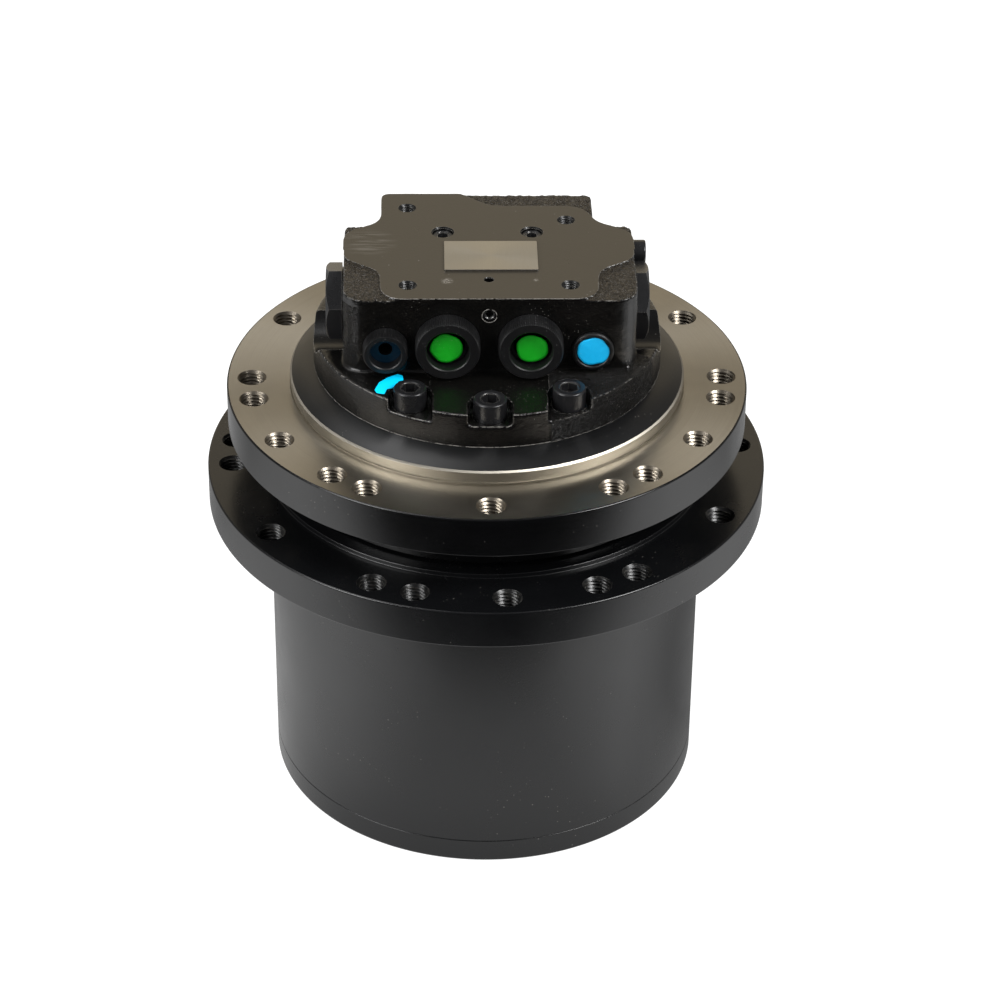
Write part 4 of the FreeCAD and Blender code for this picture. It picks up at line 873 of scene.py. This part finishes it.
milled(casting, (-reach, -reach, casing_pad), (reach, reach, casing_pad + 20.0), cast_milled)
milled(
    casting, (-ledge_flat, -reach, casing_ledge - 0.1), (ledge_flat, port_face - 0.2, casing_ledge + 14.0), cast_ledge
)
milled(casting, (-reach, -reach, casing_seat - 20.0), (reach, reach, casing_seat), cast_bore)
drilled(casting, casing_screw_seat, (0, 0, screw_pocket_floor), (0, 0, pocket_top), cast_pocket, **screw_ring)
drilled(
    casting, casing_screw_bore, (0, 0, casing_seat - 1.0), (0, 0, screw_pocket_floor + 1.0), cast_bore, **screw_ring
)


def cross_bored(radius, start, end, number, **shape):
    """Drill the casing along the spool's line, between two distances to the right of its middle."""
    drilled(casting, radius, (start, spool_y, travel_port_z), (end, spool_y, travel_port_z), number, **shape)


for face, way in ((block_left, -1.0), (block_right, 1.0)):
    cross_bored(plug_pocket_radius, face, face + way * reach, cast_pocket, steps=96)
    cross_bored(cross_thread_bore, face - way * cross_thread_depth, face + way, cast_bore)
cross_bored(spool_bore, block_left + spool_end, block_right - spool_end, cast_bore)
drilled(
    casting, shaft_bearing_bore, (0, 0, casing_seat - 1.0), (0, 0, casing_seat + shaft_bearing_depth), cast_bore
)
for x, z, radius, depth in (
    (-travel_port_x, travel_port_z, port_bore, port_depth),
    (travel_port_x, travel_port_z, port_bore, port_depth),
    (-small_port_x, drain_port_z, small_port_bore, small_port_depth),
    (small_port_x, pilot_port_z, small_port_bore, small_port_depth),
    (0.0, front_plug_z, front_plug_bore, front_plug_depth),
):
    drilled(casting, radius, (x, port_face + depth, z), (x, port_face - 2.0, z), cast_ledge)
for way in (-1.0, 1.0):
    x = way * travel_port_x
    drilled(casting, passage_bore, (x, spool_y, travel_port_z), (x, port_face + 20.0, travel_port_z), cast_bore)
    x = way * kidney_x
    drilled(casting, passage_bore, (x, spool_y, casing_seat - 1.0), (x, spool_y, travel_port_z), cast_bore)
for x, y in pad_threads:
    radius, height, pitch, mouth = pad_thread
    hole = tap(
        radius, height, pitch, mouth, casing_pad - pad_thread_depth, casing_pad + 0.05, casing_finishes, cast_thread
    )
    stood(hole, x, y, 0.0)
    machined(casting, hole)
for radius, x, y, mouth in (
    (set_plug_bore, -set_plug_x, set_plug_y, 0.7),
    (set_plug_bore, set_plug_x, set_plug_y, 0.7),
    (centre_mark[0], 0, centre_mark[1], 0.4),
):
    bottom = casing_pad - pad_hole_depth
    drilled(casting, radius, (x, y, bottom), (x, y, casing_pad + 0.02), cast_pocket, mouth=mouth)
drilled(
    casting, set_plug_bore, (block_right - relief_depth, relief_y, relief_z),
    (block_right + 2.0, relief_y, relief_z), cast_bore,
)
edged(casting, 40.0)
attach(casting, "fixed_side")
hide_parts("motor_casing")


# Casing screws: six black-oxide socket head cap screws, their heads knurled and their sockets open.
screw_head_radius = 8.0
screw_head_height = 10.0
screw_shank_radius = 5.0
screw_foot = 213.2
screw_socket_corner = 4.6
screw_socket_depth = 5.0
screw_recess = 0.4
knurl_count = 64


def ribbed(piece, above_radius, count, depth, low, high):
    """Press straight ribs into the outer wall of a turned piece about Z, between two levels."""
    for point in piece.data.vertices:
        spoke = math.hypot(point.co.x, point.co.y)
        if spoke < above_radius * mm or not low * mm <= point.co.z <= high * mm:
            continue
        angle = math.atan2(point.co.y, point.co.x)
        shrink = 1.0 - depth * mm * (0.5 - 0.5 * math.cos(count * angle)) / spoke
        point.co.x *= shrink
        point.co.y *= shrink


def oxide(name, colour, roughness, wear):
    """Black-oxide steel: dark, half metallic, brighter where its edges are handled."""
    material, tree, surface = new_finish(name, Specular_IOR_Level=0.6)
    smudge = placed(tree, handling, Speck_size=900.0, Speck_share=0.08)["Smudge"]
    worn = placed(tree, edge_wear, Width=0.0004, Breakup=700.0, Amount=wear)["Mask"]
    tone = layered(tree, colour, (smudge, scaled(colour, 1.6)), (worn, (0.3, 0.29, 0.27)))
    tree.links.new(spread(tree, worn, 0.3, 0.8), surface.inputs["Metallic"])
    gloss = spread(tree, smudge, roughness, roughness + 0.14)
    dressed(tree, surface, tone, gloss, grains(tree, 1800.0), 0.05, 0.0003)
    return material


screw_oxide = oxide("screw_oxide", (0.01, 0.01, 0.011), 0.22, 0.85)
head_top = screw_pocket_floor + screw_head_height
heads = []
for index, angle in enumerate(casing_screw_angles):
    screw = turned("casing_screw", [
        (0.0, screw_foot),
        (screw_shank_radius, screw_foot, 0.7),
        (screw_shank_radius, screw_pocket_floor),
        (screw_head_radius, screw_pocket_floor, 0.3),
        (screw_head_radius, head_top, 1.0),
        (screw_socket_corner + 0.5, head_top, 0.4),
        (screw_socket_corner + 0.1, head_top - screw_recess),
        (0.0, head_top - screw_recess),
    ], [screw_oxide], steps=4 * knurl_count, closed=False)
    ribbed(screw, screw_head_radius - 0.4, knurl_count, 0.16, screw_pocket_floor + 1.0, head_top - 1.0)
    hexed(screw, screw_socket_corner, head_top - screw_socket_depth, head_top + 1.0, turn=17.0 * index)
    screw.data.transform(Matrix.Rotation(math.radians(angle), 4, "Z") @ Matrix.Translation((
        casing_screw_circle * mm, 0.0, 0.0
    )))
    heads.append(screw)
heads = joined("casing_screws_oxide", heads)
edged(heads, 38.0)
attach(heads, "fixed_side")
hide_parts("casing_screws")


# Hexagon plugs: the ends of the counterbalance spool's bore, one on each side, with a chamfered hexagon on
# a washer face. The upper flats catch the light; the plug is blackened steel.
plug_across_flats = 34.0
plug_shank = 13.0
plug_end = -15.5
plug_washer = 16.6
plug_round = 19.7
plug_crown = 16.7
plug_sides = (("left", -1.0, block_left, 8.8, 46.4), ("right", 1.0, block_right, 7.2, 18.4))

plug_black = oxide("plug_black", (0.014, 0.014, 0.015), 0.22, 0.8)
for word, side, face, plug_head, plug_turn in plug_sides:
    crown = turned("counterbalance_plug_" + word, [
        (0.0, plug_end),
        (plug_shank, plug_end, 0.8),
        (plug_shank, 0.0),
        (plug_washer, 0.0),
        (plug_washer, 0.9),
        (plug_round, 0.9),
        (plug_round, plug_head - 1.7),
        (plug_crown, plug_head, 0.3),
        (0.0, plug_head),
    ], [plug_black], steps=144, closed=False)
    hexed(crown, plug_across_flats / math.sqrt(3.0), plug_end - 1.0, plug_head + 1.0, plug_turn, "INTERSECT")
    stood(crown, face, spool_y, travel_port_z, 90.0 * side, "Y")
    edged(crown, 25.0)
    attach(crown, "fixed_side")
    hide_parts("counterbalance_plugs")

relief_shank = 5.0
relief_head = 6.0
relief_height = 6.9
relief = turned("relief_plug_turned", [
    (0.0, 1.0 - relief_depth),
    (relief_shank, 1.0 - relief_depth, 0.6),
    (relief_shank, 0.0),
    (relief_head, 0.0),
    (relief_head, relief_height, 0.9),
    (0.0, relief_height),
], [plug_black], steps=64, closed=False)
hexed(relief, 2.9, 3.0, relief_height + 1.1)
stood(relief, block_right, relief_y, relief_z, 90.0, "Y")
edged(relief)
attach(relief, "fixed_side")
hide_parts("relief_plug")


# Socket plugs of drilled passages: two sunk in the pad and a small one in the port face.
set_plug_length = 8.5
set_plug_sunk = 1.5
plug_sets = []
for x, y, z, radius, corner, tilt in (
    (-set_plug_x, set_plug_y, casing_pad - set_plug_sunk, 5.0, 2.9, 0.0),
    (set_plug_x, set_plug_y, casing_pad - set_plug_sunk, 5.0, 2.9, 0.0),
    (0.0, port_face + set_plug_sunk, front_plug_z, 3.4, 2.0, 90.0),
):
    plug = turned("socket_plug", [
        (0.0, -set_plug_length),
        (radius, -set_plug_length, 0.6),
        (radius, 0.0, 0.5),
        (corner + 0.5, 0.0),
        (corner + 0.1, -0.4),
        (0.0, -0.4),
    ], [plug_black], steps=48, closed=False)
    hexed(plug, corner, -set_plug_length / 2.0, 1.0, turn=radius * 7.0)
    stood(plug, x, y, z, tilt, "X")
    plug_sets.append(plug)
socket_plugs = joined("passage_plugs_black", plug_sets)
edged(socket_plugs)
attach(socket_plugs, "fixed_side")
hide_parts("passage_plugs")


# Shipping caps: moulded black plastic, pushed into the ports. The two large ones and the left small one
# have a fine knurl round the rim. The large ones carry a green film disc each, the right small one a bright
# blue one, and the left small one has a dark blue floor.
cap_wall = 1.6
cap_shank_end = -12.0
cap_knurl = 92
cap_fit = 0.02
cap_edge = ((0.0, 1.5), (0.45, 0.45), (1.0, 0.0))
plain_edge = ((0.0, 0.7), (0.7, 0.0))


def moulded(name, colour, roughness, glow=0.0):
    """Moulded plastic, with a faint mottle and dust. A glow adds painted light in its own tone."""
    material, tree, surface = new_finish(name, Specular_IOR_Level=0.45)
    touched = placed(tree, handling, Speck_size=1000.0, Speck_share=0.16)
    tone = layered(
        tree, colour, (touched["Smudge"], [min(1.0, channel * 1.35) for channel in colour]),
        (times(tree, touched["Speck"], 0.35), (0.5, 0.5, 0.5)),
    )
    # Painted light: emission in the plastic's own colour, brightening it beyond what the lamps give.
    if glow:
        tree.links.new(tone, surface.inputs["Emission Color"])
        surface.inputs["Emission Strength"].default_value = glow
    gloss = spread(tree, touched["Smudge"], roughness, roughness + 0.1)
    dressed(tree, surface, tone, gloss, grains(tree, 1300.0), 0.07, 0.0003)
    return material


cap_black = moulded("cap_black", (0.003, 0.003, 0.0033), 0.4)
# The navy floor and the two film discs carry a little painted glow.
cap_navy = moulded("cap_navy", (0.0004, 0.01, 0.022), 0.28, 0.15)
film_green = moulded("film_green", (0.0, 0.3, 0.006), 0.5, 0.08)
film_blue = moulded("film_blue", (0.0, 0.33, 0.62), 0.5, 0.12)


def port_cap(name, radius, height, opening, shank, x, z, knurled, well_finish, well=0.0):
    """A cap whose rim, knurled or plain, lies on the port face and whose hollow shank fills the port."""
    lip = 0.5 if knurled else 0.4
    step = cap_wall if knurled else 1.2
    well = well or shank - cap_wall
    made = turned(name, [
        (0.0, cap_shank_end),
        (shank - cap_fit, cap_shank_end, 0.8),
        (shank - cap_fit, 0.0),
        (radius - 0.4, 0.0),
        (radius, 0.4),
        *[(radius - inward, height - down) for inward, down in (cap_edge if knurled else plain_edge)],
        (opening + lip, height, 0.2),
        (opening, height - lip, 0.1),
        (opening, step, 0.0, well_finish),
        (well, step),
        (well, cap_shank_end + cap_wall, 0.6),
        (0.0, cap_shank_end + cap_wall),
    ], [cap_black, cap_navy], steps=4 * cap_knurl, closed=False)
    if knurled:
        ribbed(made, radius - 0.6, cap_knurl, 0.65, 0.8, height - 0.4)
    stood(made, x, port_face, z, 90.0, "X")
    edged(made, 50.0)
    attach(made, "fixed_side")
    return made


def film_disc(name, radius, wobble, level, x, z, finish, seed):
    """A thin coloured film with a hand-cut outline, slightly crinkled, lying in a cap."""
    """A thin coloured film with a hand-cut outline, slightly crinkled, lying in a cap."""
    steps = 72
    rows = 7
    points = [(0.0, 0.0, level)]
    for row in range(1, rows + 1):
        for x_share, y_share, _ in ring(1.0, 0.0, steps):
            edge = radius + wobble * noise.noise(Vector((x_share * 1.4, y_share * 1.4, seed)))
            spoke = edge * row / rows
            sag = 0.16 * noise.noise(Vector((spoke * 0.35 * x_share, spoke * 0.35 * y_share, seed)))
            points.append((spoke * x_share, spoke * y_share, level + sag))
    faces = [[0, 1 + step, 1 + (step + 1) % steps] for step in range(steps)]
    faces += [[quad[0], quad[3], quad[2], quad[1]] for quad in bands(rows - 1, steps, start=1)]
    made = new_piece(name, points, faces, [finish])
    thick = made.modifiers.new("film", "SOLIDIFY")
    thick.thickness = 0.25 * mm
    stood(made, x, port_face, z, 90.0, "X")
    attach(made, "fixed_side")
    return made


for x, side in ((-travel_port_x, "left"), (travel_port_x, "right")):
    travel_cap = port_cap("travel_cap_" + side, 15.8, 9.2, 10.4, 10.0, x, travel_port_z, True, 0)
    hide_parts("travel_port_caps")
    film = film_disc("travel_film_" + side, 7.6, 0.8, 4.2, 1.03 * x, travel_port_z - 1.0, film_green, x * 0.37)
    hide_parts("travel_cap_discs")
drain_cap = port_cap("drain_cap", 11.0, 7.8, 7.6, 6.6, -small_port_x, drain_port_z, True, 1, well=3.4)
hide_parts("drain_port_cap")
pilot_cap = port_cap("pilot_cap", 10.2, 2.5, 8.0, 6.6, small_port_x, pilot_port_z, False, 0)
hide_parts("pilot_port_cap")
pilot_film = film_disc("pilot_film", 7.75, 1.3, 1.95, small_port_x, pilot_port_z, film_blue, 4.2)


# Plate: thin bare aluminium on the pad, brushed along its length and left blank.
plate_centre = (1.35, -5.15)
plate_half = (22.75, 14.35)
plate_thickness = 1.0

brushed, tree, surface = new_finish("brushed_plate", Metallic=1.0, Anisotropic=0.5)
stretched = shader(tree, "Mapping", {"Vector": own_place(tree), "Scale": (5200.0, 130.0, 100.0)}).outputs[0]
strokes = grains(tree, 1.0, 4.0, 0.6, stretched)
smudge = placed(tree, handling, Speck_size=500.0, Speck_share=0.04)["Smudge"]
tone = mixed(tree, strokes, (0.36, 0.35, 0.33), (0.5, 0.49, 0.46))
tone = mixed(tree, times(tree, smudge, 0.35), tone, (0.38, 0.36, 0.32))
dressed(tree, surface, tone, remapped(tree, strokes, 0.3, 0.7, 0.28, 0.4), strokes, 0.1, 0.0002)

plate = prism("name_plate_blank", [
    (plate_centre[0] + sx * plate_half[0], plate_centre[1] + sy * plate_half[1], 0.5)
    for sx, sy in ((-1, -1), (1, -1), (1, 1), (-1, 1))
], casing_pad + 0.02, casing_pad + plate_thickness, [brushed])
rounding = plate.modifiers.new("edge", "BEVEL")
rounding.width = 0.12 * mm
rounding.segments = 2
settle(plate)
edged(plate)
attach(plate, "fixed_side")
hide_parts("name_plate")


# Paint mark: a daub of bright blue marker on the ledge by the left screw, with an uneven edge.
daub_outline = ((-55.2, -62.2), (-54.2, -65.2), (-50.8, -66.2), (-46.0, -62.6), (-42.6, -58.2), (-41.4, -53.4),
                (-41.8, -49.2), (-44.2, -47.8), (-48.6, -50.6), (-53.0, -55.2))
daub_thickness = 0.22
daub_rows = 24
daub_lowest = casing_ledge - 0.8

# The daub also glows in its own colour: painted light that keeps it bright on the shaded ledge.
daub_paint, tree, surface = new_finish("daub_paint", Specular_IOR_Level=0.4, Emission_Strength=0.3)
smudge = placed(tree, handling, Speck_size=420.0, Speck_share=0.2)["Smudge"]
tone = mixed(tree, smudge, (0.0, 0.5, 0.85), (0.0, 0.6, 0.95))
tree.links.new(tone, surface.inputs["Emission Color"])
dressed(tree, surface, tone, spread(tree, smudge, 0.35, 0.5))

rim = [point for point, _ in softened([(x, y, 0.9) for x, y in daub_outline])]
middle = sum(rim, Vector((0.0, 0.0))) / len(rim)
skin_under = BVHTree.FromObject(casting, bpy.context.evaluated_depsgraph_get())
points = []
for row in range(daub_rows + 1):
    for corner in rim:
        place = middle.lerp(corner, row / daub_rows)
        hit = skin_under.ray_cast(Vector((place.x, place.y, casing_ledge + 6.0)) * mm, Vector((0.0, 0.0, -1.0)))[0]
        level = hit.z / mm if hit else casing_ledge
        rise = daub_thickness * (1.0 - (row / daub_rows) ** 4)
        points.append((place.x, place.y, level + rise + 0.03))
faces = []
for quad in bands(daub_rows, len(rim)):
    if min(points[corner][2] for corner in quad) > daub_lowest:
        faces.append([quad[0], quad[3], quad[2], quad[1]])
daub = new_piece("paint_daub", points, faces, [daub_paint])
weld = bmesh.new()
weld.from_mesh(daub.data)
bmesh.ops.remove_doubles(weld, verts=weld.verts, dist=0.001 * mm)
weld.to_mesh(daub.data)
weld.free()
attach(daub, "fixed_side")


# Inner pieces keep the frame's own meshes and get the finish of their metal: hobbed and ground gears,
# ground bearing rings and rollers, bronze bushes, rubber seals and sintered brake lining.
def plain_oiled(name, colour, roughness, metallic, grain, relief):
    """A finish that is even but for its grain and an oily bloom."""
    material, tree, surface = new_finish(name, Metallic=metallic)
    smudge = placed(tree, handling, Speck_size=800.0, Speck_share=0.04)["Smudge"]
    fine = grains(tree, grain, 3.0)
    dark = scaled(colour, 0.7)
    tone = layered(tree, dark, (fine, colour), (times(tree, smudge, 0.3), dark))
    dressed(tree, surface, tone, spread(tree, smudge, roughness, roughness + 0.12), fine, relief, 0.0003)
    return material


inner_finishes = {
    "gear_steel": turned_steel("gear_steel_ground", (0.36, 0.34, 0.31), 0.24, rings=1900.0),
    "bearing_steel": turned_steel("bearing_steel_ground", (0.56, 0.55, 0.53), 0.14, rings=6000.0, relief=0.05),
    "machined_steel": inner_steel,
    "bronze": turned_steel("bronze_turned", (0.5, 0.3, 0.12), 0.26, rings=2400.0),
    "rubber": plain_oiled("seal_rubber", (0.012, 0.012, 0.012), 0.45, 0.0, 700.0, 0.1),
    "brake_lining": plain_oiled("brake_lining_sintered", (0.1, 0.075, 0.05), 0.6, 0.0, 1600.0, 0.3),
    "plated_screw": screw_oxide,
}
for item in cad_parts.values():
    finish = inner_finishes.get(item.data.materials[0].name if item.data.materials else "")
    if finish:
        item.data.materials.clear()
        item.data.materials.append(finish)


# Studio: a white floor and backdrop that the camera sees as white, with the object's own soft shadow. In
# reflections the floor is a glowing white table that ends in front of the object, with painted light on it:
# painted pools of lamp light at its sides, painted shade at its rear, and a painted shadow of the object to
# its right and round its foot. The backdrop is a warm glow behind the object under a dark ceiling. From
# below the floor can be seen through.
floor_size = 6.0


def ray_kinds(tree):
    """Whether a ray comes from the camera, and whether from a mirror or glass."""
    path = shader(tree, "LightPath")
    mirrored = math_of(
        tree, "ADD", path.outputs["Is Glossy Ray"], path.outputs["Is Transmission Ray"], clamp=True
    )
    return path.outputs["Is Camera Ray"], mirrored


corner = floor_size / 2.0
floor_mesh = bpy.data.meshes.new("floor")
floor_mesh.from_pydata(
    [(-corner, -corner, 0.0), (corner, -corner, 0.0), (corner, corner, 0.0), (-corner, corner, 0.0)],
    [], [(0, 1, 2, 3)],
)
floor_paint = bpy.data.materials.new("floor_paint")
floor_paint.use_nodes = True
floor_tree = floor_paint.node_tree
floor_tree.nodes.clear()
by_camera, mirrored = ray_kinds(floor_tree)
floor_spot = own_place(floor_tree)
floor_axes = shader(floor_tree, "SeparateXYZ", {0: floor_spot})
table_end = remapped(floor_tree, floor_axes.outputs[1], -0.35, -0.23, 0.0, 1.0)
# Painted light on the table seen in reflections: painted shade towards its rear, painted pools of lamp light at its
# sides, a painted shadow of the object to its right and painted shade round its foot.
painted_rear_shade = remapped(floor_tree, floor_axes.outputs[1], -0.10, 0.16, 1.0, 0.3)
aside = math_of(floor_tree, "ABSOLUTE", floor_axes.outputs[0])
painted_side_light = remapped(floor_tree, aside, 0.08, 0.2, 1.0, 1.4)
painted_shadow_reach = shader(floor_tree, "VectorMath", {0: floor_spot, 1: (0.17, 0.05, 0.0)}, operation="DISTANCE")
painted_side_shadow = remapped(floor_tree, painted_shadow_reach.outputs["Value"], 0.06, 0.16, 0.4, 1.0)
from_axis = shader(floor_tree, "VectorMath", {0: floor_spot}, operation="LENGTH").outputs["Value"]
painted_foot_shadow = remapped(floor_tree, from_axis, 0.112, 0.16, 0.78, 1.0)
painted_table_light = table_end
for factor in (painted_rear_shade, painted_side_light, painted_side_shadow, painted_foot_shadow):
    painted_table_light = math_of(floor_tree, "MULTIPLY", painted_table_light, factor)
matt = shader(floor_tree, "BsdfDiffuse", {"Color": (0.35, 0.35, 0.35, 1.0)})
glow = shader(floor_tree, "Emission", {"Strength": math_of(floor_tree, "MULTIPLY", by_camera, 0.86)})
lit = shader(floor_tree, "AddShader", {0: matt.outputs[0], 1: glow.outputs[0]})
table = shader(floor_tree, "Emission", {"Strength": painted_table_light})
either = shader(floor_tree, "MixShader", {0: mirrored, 1: lit.outputs[0], 2: table.outputs[0]})
from_below = shader(floor_tree, "NewGeometry").outputs["Backfacing"]
clear = shader(floor_tree, "BsdfTransparent")
one_sided = shader(floor_tree, "MixShader", {0: from_below, 1: either.outputs[0], 2: clear.outputs[0]})
shader(floor_tree, "OutputMaterial", {"Surface": one_sided.outputs[0]})
floor_mesh.materials.append(floor_paint)
floor = bpy.data.objects.new("floor", floor_mesh)
bpy.context.scene.collection.objects.link(floor)
floor.location.z = -0.2 * mm

world = bpy.data.worlds.new("studio_world")
bpy.context.scene.world = world
world.use_nodes = True
world_tree = world.node_tree
world_tree.nodes.clear()
by_camera, mirrored = ray_kinds(world_tree)
heading = shader(world_tree, "SeparateXYZ", {0: shader(world_tree, "TexCoord").outputs["Generated"]})
rearward = math_of(world_tree, "MAXIMUM", heading.outputs[1], 0.05)
steepness = math_of(world_tree, "DIVIDE", heading.outputs[2], rearward)
sideways = math_of(world_tree, "DIVIDE", math_of(world_tree, "ABSOLUTE", heading.outputs[0]), rearward)
within = remapped(world_tree, sideways, 0.43, 0.6, 1.0, 0.2)
below_ceiling = remapped(world_tree, steepness, 0.68, 0.85, 1.0, 0.12)
behind = remapped(world_tree, heading.outputs[1], 0.05, 0.35, 0.0, 1.0)
backdrop = math_of(world_tree, "MULTIPLY", math_of(world_tree, "MULTIPLY", below_ceiling, behind), within)
room = mixed(world_tree, backdrop, (0.13, 0.13, 0.135), (0.82, 0.71, 0.53))
air = mixed(world_tree, mirrored, (0.35, 0.35, 0.35), room)
air = mixed(world_tree, by_camera, air, (1.0, 1.0, 1.0))
around = shader(world_tree, "Background", {"Color": air})
shader(world_tree, "OutputWorld", {"Surface": around.outputs[0]})


def soft_lamp(name, place, aim, width, height, power):
    """A broad rectangular lamp aimed at a point."""
    light = bpy.data.lights.new(name, "AREA")
    light.shape = "RECTANGLE"
    light.size = width
    light.size_y = height
    light.energy = power
    lamp = bpy.data.objects.new(name, light)
    lamp.location = place
    lamp.rotation_mode = "QUATERNION"
    lamp.rotation_quaternion = (Vector(place) - Vector(aim)).to_track_quat("Z", "Y")
    bpy.context.scene.collection.objects.link(lamp)


chest = (0.0, 0.0, 0.15)
soft_lamp("left_box", (-1.33, -0.88, 1.05), chest, 0.9, 0.85, 24.0)
soft_lamp("right_box", (1.12, -0.66, 1.35), chest, 0.7, 0.7, 28.0)
soft_lamp("top_box", (-0.62, 0.2, 1.72), chest, 0.95, 0.8, 7.5)
